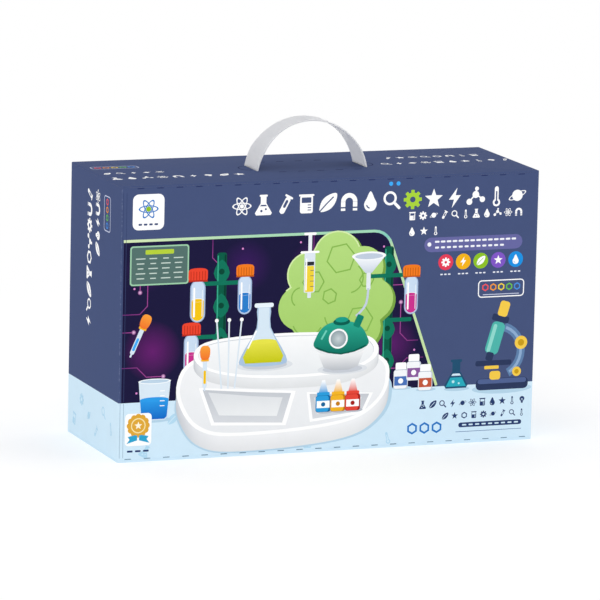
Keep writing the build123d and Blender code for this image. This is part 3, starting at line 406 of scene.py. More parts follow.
def settle(piece, *materials):
    """Bakes the piece's place into its mesh and gives it its materials."""
    select_only(piece)
    bpy.ops.object.transform_apply(location=True, rotation=True, scale=True)
    for material in materials:
        piece.data.materials.append(material)


def choose(piece, kind, test):
    """In edit mode, selects only the faces or edges that pass the test."""
    bpy.ops.mesh.select_all(action="DESELECT")
    bpy.ops.mesh.select_mode(type=kind)
    cage = bmesh.from_edit_mesh(piece.data)
    for part in {"EDGE": cage.edges, "FACE": cage.faces}[kind]:
        if test(part):
            part.select_set(True)
    cage.select_flush_mode()
    bmesh.update_edit_mesh(piece.data)


def apply_modifier(piece, kind, **given):
    """Adds a modifier with its settings and applies it."""
    select_only(piece)
    made = piece.modifiers.new(kind.lower(), kind)
    for name, value in given.items():
        setattr(made, name, value)
    bpy.ops.object.modifier_apply(modifier=made.name)


def smooth(piece, degrees):
    """Shades a piece smooth, apart from edges sharper than these degrees."""
    select_only(piece)
    bpy.ops.object.shade_smooth_by_angle(angle=math.radians(degrees))


def middle_of(part):
    """The middle of an edge or a face."""
    return sum((v.co for v in part.verts), Vector()) / len(part.verts)


def span_of(edge):
    """How far an edge reaches along each axis."""
    return Vector([abs(v) for v in edge.verts[0].co - edge.verts[1].co])


class KIT_OT_sleeve(bpy.types.Operator):
    """The carton's four walls, one folded sheet with rounded creases and a glued tab"""

    bl_idname = "kit.sleeve"
    bl_label = "Carton sleeve"

    def execute(self, context):
        printed, liner, edge = kit["printed_board"], kit["board_liner"], kit["fluted_edge"]
        lid_gap = 0.05 * MM
        foot, top = sleeve_low.z, lid_under - lid_gap
        piece = start_box("sleeve", (0, 0, (foot + top) / 2), (2 * face_x, 2 * face_y, top - foot))
        settle(piece, printed, liner, edge)
        bpy.ops.object.mode_set(mode="EDIT")
        choose(piece, "FACE", lambda f: abs(f.normal.z) > 0.9)
        bpy.ops.mesh.delete(type="ONLY_FACE")
        choose(piece, "EDGE", lambda e: span_of(e).z > 100 * MM)
        bpy.ops.mesh.bevel(offset=fold_radius, segments=5, profile=0.5)
        bpy.ops.object.mode_set(mode="OBJECT")
        apply_modifier(
            piece, "SOLIDIFY", thickness=board - print_depth, offset=-1,
            material_offset=1, material_offset_rim=2, use_even_offset=True,
        )
        bpy.ops.object.mode_set(mode="EDIT")
        bpy.ops.mesh.select_all(action="SELECT")
        bpy.ops.mesh.normals_make_consistent(inside=False)
        bpy.ops.object.mode_set(mode="OBJECT")
        smooth(piece, 30)
        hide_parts("carton_sleeve")
        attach(piece, "carton")

        # The glue tab inside the back left corner, its ends cut at a slant
        tab_width, slant, cut_rim = 22 * MM, 9 * MM, 0.15 * MM
        inner_x, inner_y = half_width - board, half_depth - board
        low, high = foot + 14 * MM, sleeve_high.z - 8 * MM
        tab = start_box(
            "glue_tab",
            (-inner_x + tab_width / 2, inner_y - board / 2, (low + high) / 2),
            (tab_width, board, high - low),
        )
        settle(tab, edge, liner)
        bpy.ops.object.mode_set(mode="EDIT")
        free_side = tab_width - inner_x - 2 * MM
        choose(tab, "EDGE", lambda e: span_of(e).y > MM and middle_of(e).x > free_side)
        bpy.ops.mesh.bevel(offset=slant, segments=1)
        choose(tab, "FACE", lambda f: abs(f.normal.y) > 0.9)
        bpy.ops.mesh.inset(thickness=cut_rim)
        cage = bmesh.from_edit_mesh(tab.data)
        for face in cage.faces:
            face.material_index = 1 if abs(face.normal.y) > 0.9 else 0
        bmesh.update_edit_mesh(tab.data)
        bpy.ops.object.mode_set(mode="OBJECT")
        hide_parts("carton_sleeve")
        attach(tab, "carton")
        return {"FINISHED"}


class KIT_OT_lid(bpy.types.Operator):
    """The lid panel, with the slits for the strap and the rounded front fold"""

    bl_idname = "kit.lid"
    bl_label = "Lid"

    def execute(self, context):
        look = context.scene.kit_strap
        fold_zone, fold_bevel = 4 * MM, 0.8 * MM
        slit_play, cutter_height = 1.4 * MM, 10 * MM
        size = (2 * face_x, 2 * face_y, face_z - lid_under)
        piece = start_box("lid_panel", (0, 0, (lid_under + face_z) / 2), size)
        settle(piece, kit["printed_board"], kit["board_liner"], kit["fluted_edge"])

        def folded(edge):
            """Whether an edge of the top lies along the front or the back."""
            if middle_of(edge).z <= face_z - 0.01 * MM or len(edge.link_faces) != 2:
                return False
            first, second = edge.link_faces
            along = all(abs(v.co.y) > face_y - fold_zone for v in edge.verts)
            return along and abs(first.normal.z - second.normal.z) > 0.5

        bpy.ops.object.mode_set(mode="EDIT")
        choose(piece, "EDGE", lambda e: span_of(e).z > 0.5 * MM)
        bpy.ops.mesh.bevel(offset=fold_radius, segments=5)
        choose(piece, "EDGE", folded)
        bpy.ops.mesh.bevel(offset=fold_bevel, segments=3)
        cage = bmesh.from_edit_mesh(piece.data)
        for face in cage.faces:
            if face.normal.z < -0.9:
                face.material_index = 1
        bmesh.update_edit_mesh(piece.data)
        bpy.ops.object.mode_set(mode="OBJECT")
        for side in (-1, 1):
            cutter = start_box(
                "slit_cutter",
                (side * look.pitch / 2, 0, carton_top),
                (look.slit_width, strap_high.y - strap_low.y + slit_play, cutter_height),
            )
            apply_modifier(piece, "BOOLEAN", object=cutter, operation="DIFFERENCE", solver="EXACT")
            bpy.data.objects.remove(cutter)
        smooth(piece, 30)
        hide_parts("top_lid")
        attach(piece, "lid")
        return {"FINISHED"}


class KIT_OT_strap(bpy.types.Operator):
    """The carry strap: one strip bent to an arc, narrower at its top"""

    bl_idname = "kit.strap"
    bl_label = "Carry strap"

    def execute(self, context):
        look = context.scene.kit_strap
        # Its ends go down through the slits
        end_depth, bend_above, edge_round = 1.5 * MM, 6 * MM, 0.45 * MM
        foot_width = strap_high.y - strap_low.y
        rise = strap_high.z - carton_top - look.thickness / 2
        radius = ((look.pitch / 2) ** 2 + rise**2) / (2 * rise)
        middle = carton_top + rise - radius
        hinge = next(j for j in frame["joints"] if j["name"] == "handle_tilt")["pos_m"][2]
        reach = math.acos((carton_top - end_depth - middle) / radius)
        piece = start_piece(
            "carry_strap", bpy.ops.mesh.primitive_grid_add, x_subdivisions=140, y_subdivisions=14, size=1
        )
        for vertex in piece.data.vertices:
            angle = 2 * reach * vertex.co.x
            high = middle + radius * math.cos(angle)
            share = max(0.0, (high - hinge) / (strap_high.z - hinge))
            width = foot_width + (look.top_width - foot_width) * share
            vertex.co = (radius * math.sin(angle), vertex.co.y * width, high)
        settle(piece, kit["strap_plastic"])
        apply_modifier(piece, "SOLIDIFY", thickness=look.thickness, offset=0, use_even_offset=True)
        apply_modifier(
            piece, "BEVEL", width=edge_round, segments=3, limit_method="ANGLE", angle_limit=math.radians(50)
        )
        smooth(piece, 40)
        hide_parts("handle_strap")
        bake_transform(piece)
        return {"FINISHED"}


class Artwork:
    """Flat artwork drawn in millimetres. Each shape is one face, a hair above every shape it crosses."""

    def __init__(self):
        self.shapes = []
        self.at()

    def at(self, x=0.0, y=0.0, size=1.0, turn=0.0):
        """The next shapes are drawn round this point, at this size and turned by these degrees."""
        self.middle = Vector((x, y))
        self.size = size
        self.turn = Matrix.Rotation(math.radians(turn), 2)

    def stamp(self, drawing, x, y, size, *given, turn=0.0):
        """Draws another drawing round a point, then goes back to the sheet's own millimetres."""
        self.at(x, y, size, turn)
        drawing(self, *given)
        self.at()

    def put(self, points, faces, colours):
        """Keeps one shape of one or more faces, just above every shape that it crosses."""
        touch = 0.01
        placed = [self.middle + self.turn @ Vector(p) * self.size for p in points]
        low = (min(p.x for p in placed) + touch, min(p.y for p in placed) + touch)
        high = (max(p.x for p in placed) - touch, max(p.y for p in placed) - touch)
        under = [
            level
            for level, near, far in (shape[3:] for shape in self.shapes)
            if low[0] < far[0] and high[0] > near[0] and low[1] < far[1] and high[1] > near[1]
        ]
        self.shapes.append((placed, faces, colours, 1 + max(under, default=0), low, high))

    def shape(self, points, colour, top=None, core=None):
        """A filled outline; top gives a second colour at its highest point, core one at its middle."""
        first = Vector(linear(colour))
        colours = [first] * len(points)
        faces = [list(range(len(points)))]
        if top:
            heights = [p[1] for p in points]
            reach = max(heights) - min(heights)
            colours = [first.lerp(Vector(linear(top)), (h - min(heights)) / reach) for h in heights]
        if core:
            faces = [[a, b, len(points)] for a, b in zip(faces[0], faces[0][1:] + faces[0][:1])]
            colours.append(Vector(linear(core)))
            points = list(points) + [tuple(sum((Vector(p) for p in points), Vector((0, 0))) / len(points))]
        self.put(points, faces, colours)

    def disc(self, x, y, radius, colour, flat=1.0, **shades):
        """A filled circle, or an ellipse where flat is under 1."""
        self.shape(oval(x, y, radius, flat, self.size), colour, **shades)

    def arc(self, x, y, radius, width, start, end, colour, flat=1.0, turn=0.0):
        """Part of a ring, between two angles."""
        steps = max(6, int(abs(end - start) / 12))
        spread = [math.radians(start + (end - start) * i / steps) for i in range(steps + 1)]
        rims = []
        for reach, squash in (
            (radius + width / 2, flat), (radius - width / 2, flat - (1 - flat) * 0.5 * width / radius)
        ):
            rims.append([(reach * math.cos(a), reach * math.sin(a) * squash) for a in spread])
        rotation = Matrix.Rotation(math.radians(turn), 2)
        points = [rotation @ Vector(p) + Vector((x, y)) for p in rims[0] + rims[1][::-1]]
        self.shape([tuple(p) for p in points], colour)

    def ring(self, x, y, radius, width, colour, flat=1.0, turn=0.0):
        """A whole ring, in two halves."""
        self.arc(x, y, radius, width, 0, 180, colour, flat, turn)
        self.arc(x, y, radius, width, 180, 360, colour, flat, turn)

    def bar(self, x, y, width, height, colour, corner=0.0, turn=0.0):
        """A rectangle with rounded corners."""
        self.shape(rounded(x, y, width, height, corner, turn), colour)

    def dashes(self, x, y, step, count, width, height, colour, corner=0.3):
        """A row of like bars at even steps from the first one's middle."""
        for i in range(count):
            self.bar(x + step * i, y, width, height, colour, corner)

    def frame(self, x, y, width, height, line, colour, corner=0.0):
        """The outline of a rounded rectangle, in two halves."""
        outer = rounded(0, 0, width, height, corner)
        inner = rounded(0, 0, width - 2 * line, height - 2 * line, max(corner - line, 0))
        half = len(outer) // 2
        for first, last in ((0, half + 1), (half, len(outer) + 1)):
            outside, inside = ((rim + rim[:1])[first:last] for rim in (outer, inner))
            self.shape([(x + px, y + py) for px, py in outside + inside[::-1]], colour)

    def line(self, points, width, colour, end=None):
        """A line of even width through points; end gives it a second colour at its end."""
        spots = [Vector(p) for p in points]
        sides = []
        for i, spot in enumerate(spots):
            before = (spot - spots[i - 1]).normalized() if i else None
            after = (spots[i + 1] - spot).normalized() if i + 1 < len(spots) else None
            along = (before + after).normalized() if before and after else before or after
            across = Vector((-along.y, along.x))
            # A corner is mitred, but no further than about three widths
            stretch = 1 / max(0.35, across.dot(Vector((-before.y, before.x)))) if before and after else 1
            sides.append(across * stretch * width / 2)
        last = len(spots) - 1
        first_ink, last_ink = Vector(linear(colour)), Vector(linear(end or colour))
        colours = [first_ink.lerp(last_ink, i / last) for i in range(last + 1)]
        faces = [[i, i + 1, last + 2 + i, last + 1 + i] for i in range(last)]
        outline = [spot + side for spot, side in zip(spots, sides)]
        outline += [spot - side for spot, side in zip(spots, sides)]
        self.put([tuple(p) for p in outline], faces, colours * 2)

    def wall(self, outline, drop, light, dark):
        """The side of a raised outline, seen below its front edge and shaded by the way it faces."""
        left = min(range(len(outline)), key=lambda i: outline[i][0])
        right = max(range(len(outline)), key=lambda i: outline[i][0])
        chain = outline[left:right + 1] if left < right else outline[left:] + outline[: right + 1]
        count = len(chain)
        colours = []
        for i in range(count):
            along = (Vector(chain[min(i + 1, count - 1)]) - Vector(chain[max(i - 1, 0)])).normalized()
            facing = 0.5 + 0.5 * Vector((along.y, -along.x)).dot(Vector((0.25, -0.97)))
            colours.append(Vector(linear(dark)).lerp(Vector(linear(light)), facing**1.5))
        faces = [[i, i + 1, count + i + 1, count + i] for i in range(count - 1)]
        lower = [(x, y - drop) for x, y in chain]
        self.put(list(chain) + lower, faces, colours + [c * 0.88 for c in colours])


def oval(x, y, radius, flat, size):
    """Points round an ellipse, more of them on a larger one."""
    count = max(12, min(56, int(10 + 1.6 * radius * size)))
    spread = [2 * math.pi * i / count for i in range(count)]
    middle = Vector((x, y))
    return [tuple(Vector((radius * math.cos(a), radius * flat * math.sin(a))) + middle) for a in spread]


def rounded(x, y, width, height, corner=0.0, turn=0.0):
    """Points round a rectangle whose corners are quarter circles."""
    rotation = Matrix.Rotation(math.radians(turn), 2)
    points = []
    for side_x, side_y, start in ((1, 1, 0), (-1, 1, 90), (-1, -1, 180), (1, -1, 270)):
        middle = Vector((side_x * (width / 2 - corner), side_y * (height / 2 - corner)))
        steps = 5 if corner else 0
        for step in range(steps + 1):
            angle = math.radians(start + (90 * step / steps if steps else 45))
            point = middle + corner * Vector((math.cos(angle), math.sin(angle)))
            points.append(tuple(rotation @ point + Vector((x, y))))
    return points


def flowing(points, steps=5):
    """A closed outline that runs smoothly through its points."""
    count = len(points)
    smoothed = []
    for i in range(count):
        a, b, c, d = (Vector(points[(i + k) % count]) for k in (-1, 0, 1, 2))
        for step in range(steps):
            t = step / steps
            curve = 2 * b + (c - a) * t + (2 * a - 5 * b + 4 * c - d) * t * t + (3 * b - 3 * c + d - a) * t**3
            smoothed.append(tuple(0.5 * curve))
    return smoothed


def mirrored(points):
    """An outline whose one half is given: the other half follows, in the other order."""
    return list(points) + [(-x, y) for x, y in reversed(points)]


# Pictograms, each drawn in a square of side 1 round its middle


def atom(art, ink, ground):
    for turn in (0, 60, 120):
        art.ring(0, 0, 0.44, 0.07, ink, flat=0.36, turn=turn)
    art.disc(0, 0, 0.1, ink)


def flask(art, ink, ground):
    art.shape(mirrored([(-0.14, 0.46), (-0.14, 0.1), (-0.42, -0.36), (-0.36, -0.46)]), ink)
    art.bar(0, 0.46, 0.4, 0.09, ink, 0.04)
    art.shape([(-0.17, -0.04), (0.17, -0.04), (0.12, 0.03), (-0.12, 0.03)], ground)
    art.disc(-0.1, -0.26, 0.06, ground)
    art.disc(0.12, -0.18, 0.05, ground)


def tube(art, ink, ground):
    art.bar(0, -0.04, 0.26, 0.86, ink, 0.13, turn=-28)
    art.bar(0.2, 0.36, 0.42, 0.1, ink, 0.04, turn=-28)
    art.bar(0.03, 0.03, 0.13, 0.4, ground, 0.06, turn=-28)


def beaker(art, ink, ground):
    art.bar(0, -0.03, 0.64, 0.84, ink, 0.1)
    art.bar(0, 0.4, 0.76, 0.09, ink, 0.04)
    art.bar(0, 0.17, 0.48, 0.26, ground, 0.03)
    for step in range(3):
        art.bar(0.15, -0.06 - 0.12 * step, 0.18, 0.045, ground)


def leaf(art, ink, ground):
    blade = [(-0.4, -0.4), (-0.3, 0.1), (0.05, 0.38), (0.44, 0.44), (0.38, 0.02), (0.08, -0.32)]
    art.shape(flowing(blade, 4), ink)
    art.line([(-0.46, -0.46), (-0.1, -0.08), (0.28, 0.28)], 0.06, ground)


def magnet(art, ink, ground):
    art.arc(0, 0.02, 0.3, 0.22, 0, 180, ink)
    for side in (-1, 1):
        art.bar(side * 0.3, -0.2, 0.22, 0.42, ink)
        art.bar(side * 0.3, -0.26, 0.22, 0.07, ground)


def drop(art, ink, ground):
    right = [(0.2, 0.12), (0.32, -0.14), (0.22, -0.4)]
    left = [(-x, y) for x, y in reversed(right)]
    art.shape(flowing([(0, 0.48), *right, (0, -0.47), *left], 3), ink)
    art.arc(0, -0.14, 0.19, 0.06, 190, 260, ground)


def lens(art, ink, ground):
    art.ring(-0.08, 0.1, 0.28, 0.11, ink)
    art.bar(0.29, -0.27, 0.14, 0.4, ink, 0.06, turn=45)


def gear(art, ink, ground):
    for step in range(4):
        art.bar(0, 0, 0.17, 0.92, ink, 0.03, turn=45 * step)
    art.disc(0, 0, 0.34, ink)
    art.disc(0, 0, 0.14, ground)


def star(art, ink, ground):
    spread = [((0.48, 0.2)[i % 2], math.radians(90 + 36 * i)) for i in range(10)]
    art.shape([(reach * math.cos(a), reach * math.sin(a)) for reach, a in spread], ink)


def bolt(art, ink, ground):
    art.shape([(0.12, 0.48), (-0.3, -0.08), (-0.04, -0.08), (-0.14, -0.48), (0.3, 0.12), (0.04, 0.12)], ink)


def molecule(art, ink, ground):
    art.line([(-0.32, -0.2), (0, 0.14), (0.34, -0.1)], 0.07, ink)
    art.line([(0, 0.14), (0.04, 0.42)], 0.07, ink)
    for x, y, radius in ((-0.32, -0.22, 0.15), (0, 0.12, 0.17), (0.34, -0.12, 0.14), (0.05, 0.4, 0.1)):
        art.disc(x, y, radius, ink)


def thermometer(art, ink, ground):
    art.bar(0, 0.1, 0.2, 0.74, ink, 0.1)
    art.disc(0, -0.3, 0.19, ink)
    art.disc(0, -0.3, 0.1, ground)
    art.bar(0, 0.0, 0.07, 0.5, ground, 0.03)


def planet(art, ink, ground):
    art.disc(0, 0, 0.27, ink)
    art.ring(0, 0, 0.45, 0.06, ink, flat=0.3, turn=24)


def crystal(art, ink, ground):
    for reach, colour in ((0.44, ink), (0.28, ground)):
        spread = [math.radians(60 * i) for i in range(6)]
        art.shape([(reach * math.sin(a), reach * math.cos(a)) for a in spread], colour)


def lamp_bulb(art, ink, ground):
    art.disc(0, 0.12, 0.3, ink)
    art.bar(0, -0.22, 0.26, 0.2, ink, 0.03)
    art.bar(0, -0.36, 0.2, 0.06, ink, 0.02)
    art.line([(-0.09, -0.08), (-0.05, 0.12), (0.05, 0.12), (0.09, -0.08)], 0.045, ground)


PICTOGRAMS = (
    atom, flask, tube, beaker, leaf, magnet, drop, lens, gear, star, bolt, molecule, thermometer, planet,
    crystal, lamp_bulb,
)


def pictogram(number):
    """The pictogram of this number, counted round and round the list."""
    return PICTOGRAMS[number % len(PICTOGRAMS)]


def pictogram_row(art, start, end, size, count, ground, ink=white, first=0, stride=1, turn=0, accents=()):
    """Pictograms at even steps between two points; accents pairs a place in the row with its own colour."""
    for i in range(count):
        share = i / max(count - 1, 1)
        x, y = (a + (b - a) * share for a, b in zip(start, end))
        colour = dict(accents).get(i, ink)
        art.stamp(pictogram(first + i * stride), x, y, size, colour, ground, turn=turn)


def crystal_row(art, x, y, step_x, step_y, size, colours, ground):
    """Hexagons in these colours at even steps."""
    for i, colour in enumerate(colours):
        art.stamp(crystal, x + step_x * i, y + step_y * i, size, colour, ground)


# The illustrated apparatus: each piece is drawn 1 high round its middle, and the bench in millimetres

glass_shade = "#DCE6F0"
post_green = "#12735A"
red_cap = ("#E9452F", "#B92E1C")
orange_cap = ("#F07A22", "#C25A10")
yellow_liquid = ("#E6E24A", "#C3C411")
blue_liquid = ("#2E9BE8", "#1467C4")
blue_dye = ("#2D9CDB", "#14649A")


def glass_tube(art, liquid, cap, cap_shade):
    art.bar(0, -0.1, 0.3, 0.8, "#9FB4D6", 0.15)
    art.bar(0, -0.1, 0.25, 0.76, "#C9DBF0", 0.12)
    bottom = [math.radians(180 + 30 * i) for i in range(7)]
    foot = [(0.12 * math.cos(a), -0.35 + 0.12 * math.sin(a)) for a in bottom]
    art.shape([(-0.12, -0.08), *foot, (0.12, -0.08)], liquid)
    art.disc(0, -0.08, 0.12, "#F1F5FA", flat=0.3)
    art.disc(0, -0.085, 0.11, liquid, flat=0.26)
    art.bar(-0.07, -0.12, 0.035, 0.56, white, 0.017)
    art.bar(0.09, -0.14, 0.015, 0.5, "#E8F0F8", 0.007)
    art.bar(0, 0.39, 0.38, 0.22, cap, 0.05)
    art.dashes(-0.14, 0.38, 0.056, 6, 0.014, 0.17, cap_shade, 0.006)
    art.disc(0, 0.49, 0.17, cap, flat=0.2)
    art.bar(0, 0.28, 0.38, 0.03, cap_shade, 0.01)


def glass_flask(art, liquid, deep):
    art.shape(flowing(mirrored([(-0.11, 0.44), (-0.12, 0.1), (-0.38, -0.36), (-0.32, -0.5)]), 3), "#A9C3DE")
    art.shape(mirrored([(-0.09, 0.42), (-0.1, 0.1), (-0.34, -0.36), (-0.3, -0.46)]), "#D5E6F3")
    art.shape(mirrored([(-0.22, -0.12), (-0.34, -0.36), (-0.3, -0.46)]), deep, top=liquid)
    art.disc(0, -0.12, 0.22, liquid, flat=0.18)
    art.line([(-0.12, 0.06), (-0.26, -0.22)], 0.025, white)
    art.bar(0, 0.46, 0.32, 0.07, "#E8F3FA", 0.03)


def glass_beaker(art, liquid, deep):
    art.shape(mirrored([(-0.4, 0.46), (-0.33, -0.4), (-0.27, -0.48)]), "#D9E8F4")
    art.shape(mirrored([(-0.36, 0.02), (-0.32, -0.4), (-0.26, -0.46)]), deep, top=liquid)
    art.disc(0, 0.02, 0.36, liquid, flat=0.16)
    art.disc(0, 0.46, 0.41, "#F2F8FC", flat=0.16)
    art.disc(0, 0.46, 0.36, "#BCD3E6", flat=0.12)
    for step in range(4):
        art.bar(0.2, 0.22 - 0.12 * step, 0.12, 0.02, white)


def white_bottle(art, mark):
    art.bar(0, -0.14, 0.56, 0.7, "#C9D1DE", 0.08)
    art.bar(-0.02, -0.14, 0.5, 0.68, "#F4F6F9", 0.08)
    art.bar(0, 0.33, 0.42, 0.3, white, 0.06)
    art.bar(0, 0.21, 0.42, 0.03, "#B9C2D0", 0.01)
    art.bar(0, -0.2, 0.5, 0.34, mark)
    art.disc(0, -0.2, 0.1, white)


def pointed_bottle(art, colour, deep):
    art.shape([(-0.05, 0.5), (-0.16, 0.08), (0.16, 0.08), (0.05, 0.5)], colour, top=white)
    art.bar(0, 0.06, 0.42, 0.12, colour, 0.03)
    art.bar(0, -0.24, 0.5, 0.52, deep, 0.08)
    art.bar(-0.03, -0.24, 0.42, 0.5, colour, 0.08)
    art.bar(0, -0.26, 0.42, 0.22, white)
    art.disc(0, -0.26, 0.07, deep)


def bulb_dropper(art, colour):
    art.bar(0, -0.12, 0.1, 0.62, "#D7E5F2", 0.04)
    art.line([(0, -0.4), (0, -0.5)], 0.04, "#D7E5F2")
    art.bar(0, -0.2, 0.06, 0.3, colour, 0.03)
    art.bar(0, 0.18, 0.18, 0.06, "#F3B632", 0.02)
    bulb = [(-0.08, 0.2), (-0.12, 0.38), (-0.07, 0.49)]
    art.shape(flowing(mirrored(bulb), 3), "#F0712C", top="#F9A13C")


def green_post(art):
    art.bar(0, 0, 0.075, 1, "#0C5A45", 0.02)
    art.bar(0.027, 0, 0.014, 0.97, "#093F31", 0.005)
    for step in range(4):
        rise = 0.25 * step
        leaf_shape = [(-0.062, -0.4 + rise), (0, -0.3 + rise), (0.062, -0.4 + rise), (0, -0.48 + rise)]
        art.shape(flowing(leaf_shape, 3), post_green)
        art.disc(0, -0.39 + rise, 0.022, "#0A4737")
    art.bar(-0.029, 0, 0.009, 0.96, "#37A98A", 0.004)


def lobed(lobes):
    """The outline round a group of overlapping discs, as seen from the middle."""
    points = []
    for step in range(80):
        way = Vector((math.cos(math.tau * step / 80), math.sin(math.tau * step / 80)))
        reaches = []
        for x, y, radius in lobes:
            middle = Vector((x, y))
            aside = way.x * middle.y - way.y * middle.x
            if abs(aside) < radius:
                reaches.append(middle.dot(way) + math.sqrt(radius**2 - aside**2))
        points.append(tuple(way * max(reaches)))
    return points


def bush_board(art):
    """A light green board cut as a round bush, with hexagons and curves raised on it."""
    raised = "#86B552"
    outline = lobed((
        (0, 0.3, 0.2), (0.22, 0.2, 0.17), (-0.24, 0.16, 0.18), (0.31, -0.06, 0.17), (-0.31, -0.1, 0.18),
        (0, 0, 0.26), (0.2, -0.28, 0.18), (-0.17, -0.3, 0.18), (0.02, -0.36, 0.14),
    ))
    art.shape([tuple(Vector(p) + Vector((0.022, -0.014))) for p in outline], "#77A244")
    art.shape(outline, "#A3CC68", top="#B4DA80")
    art.line([(x * 0.985 - 0.004, y * 0.985 + 0.004) for x, y in outline[14:40]], 0.012, "#D3EBA9")
    for x, y, radius, turn in (
        (0.03, 0.28, 0.12, 10), (-0.2, 0.1, 0.09, 0), (-0.06, -0.02, 0.06, 20), (0.2, -0.22, 0.11, 5),
        (0.25, 0.1, 0.06, 0),
    ):
        corners = [math.radians(60 * i + turn) for i in range(7)]
        art.line([(x + radius * math.cos(a), y + radius * math.sin(a)) for a in corners], 0.011, raised)
    for x, y, radius, start in (
        (-0.24, -0.2, 0.13, 200), (0.05, -0.16, 0.15, 190), (0.1, 0.12, 0.12, -80), (-0.3, -0.02, 0.08, 100)
    ):
        art.arc(x, y, radius, 0.011, start, start + 130, raised)


def round_pot(art):
    """A teal dome with a round window on a white bowl."""
    art.shape(mirrored([(-0.5, -0.08), (-0.34, -0.44), (-0.16, -0.5)]), "#B9BDC4", top=white)
    art.disc(0, -0.08, 0.5, "#E9EBEE", flat=0.3)
    dome = mirrored([(0.52, -0.06), (0.5, 0.16), (0.36, 0.34), (0.16, 0.42)])
    art.shape(flowing([(0, -0.2), *dome], 4), "#0E6E5E", top="#2AA88F")
    art.line([(-0.5, -0.05), (-0.26, -0.15), (0, -0.19), (0.26, -0.15), (0.5, -0.05)], 0.03, "#0A5A4D")
    art.bar(0.34, 0.42, 0.14, 0.24, "#12806B", 0.03, turn=-24)
    art.disc(0, 0.42, 0.17, "#0B5D50", flat=0.4)
    art.disc(0, 0.46, 0.13, "#1B9A86", flat=0.4)
    art.disc(-0.06, 0.1, 0.19, "#F7F9F9")
    art.disc(-0.06, 0.1, 0.155, "#8E9FA6", core="#C9D3D6")
    art.line([(-0.4, 0.1), (-0.3, 0.27)], 0.035, "#6FCDB8")


def clear_funnel(art):
    art.shape(mirrored([(-0.42, 0.34), (-0.08, -0.06)]), "#C9D3E2", top="#F4F7FA")
    art.disc(0, 0.36, 0.44, "#F7F9FB", flat=0.24)
    art.disc(0, 0.35, 0.36, "#BFCBDC", flat=0.2)
    art.bar(0, -0.26, 0.11, 0.42, "#E4EAF1", 0.03)


def dosing_syringe(art, liquid):
    art.bar(0, 0.36, 0.05, 0.28, "#E8EDF3")
    art.bar(0, 0.49, 0.17, 0.035, white, 0.015)
    art.bar(0, 0.25, 0.26, 0.03, white, 0.015)
    art.bar(0, -0.02, 0.15, 0.52, glass_shade, 0.02)
    art.bar(0, -0.1, 0.12, 0.34, liquid, 0.015)
    art.bar(0, 0.1, 0.12, 0.05, "#2A2D33", 0.01)
    for step in range(5):
        art.bar(0.035, -0.2 + 0.07 * step, 0.05, 0.008, "#4A5468")
    art.bar(-0.045, -0.04, 0.018, 0.42, white, 0.008)
    art.bar(0, -0.31, 0.05, 0.08, glass_shade, 0.01)


def work_bench(art):
    """A white two-level bench, 230 wide, seen from above and in front."""
    tray = flowing([
        (-114, 12), (-106, -16), (-88, -34), (-56, -41), (20, -39), (76, -31), (104, -14), (115, 8),
        (108, 32), (60, 48), (-40, 50), (-98, 38),
    ])
    art.shape([(1 + x * 1.02, y - 17.5) for x, y in tray], shadow_ink)
    art.wall(tray, 16, "#F1F2F4", "#B9BEC8")
    art.shape(tray, white)
    art.shape([(x * 0.965, y * 0.93 + 0.5) for x, y in tray], "#E9EBEE", top="#F3F4F6")
    left_well = (
        [(-90, 10), (-76, -29), (4, -33), (14, 2), (-34, 6)],
        [(-86, 8), (-73, -26), (0, -30), (9, 0), (-34, 3)],
        [(-80, 5), (-68, -19), (-6, -23), (0, -4), (-34, -1)],
    )
    right_well = (
        [(26, 0), (30, -31), (88, -25), (98, -4)],
        [(29, -2), (33, -28), (86, -22), (94, -5)],
        [(34, -6), (38, -23), (81, -18), (86, -8)],
    )
    for rim, sides, floor in (left_well, right_well):
        art.shape(rim, white)
        art.shape(sides, "#D7DADF", top="#C3C7CE")
        art.shape(floor, "#ECEEF0", top="#DDE0E4")
    tier = flowing([
        (-96, 45), (-84, 29), (-44, 19), (14, 16), (66, 19), (98, 31), (101, 47), (78, 58), (0, 62),
        (-76, 58),
    ])
    art.wall(tier, 11, "#EDEFF1", "#B4B9C3")
    art.shape(tier, white)
    art.shape([(x * 0.95, y * 0.87 + 5.4) for x, y in tier], "#D3D7DD")
    art.shape([(x * 0.945, y * 0.86 + 5) for x, y in tier], "#E9ECEF", top="#F8F9FA")
    for x, y, radius in ((-20, 30, 30), (64, 22, 27)):
        art.disc(x, y, radius, "#DDE1E6", flat=0.2)
        art.disc(x, y, radius * 0.8, "#C6CBD4", flat=0.18)


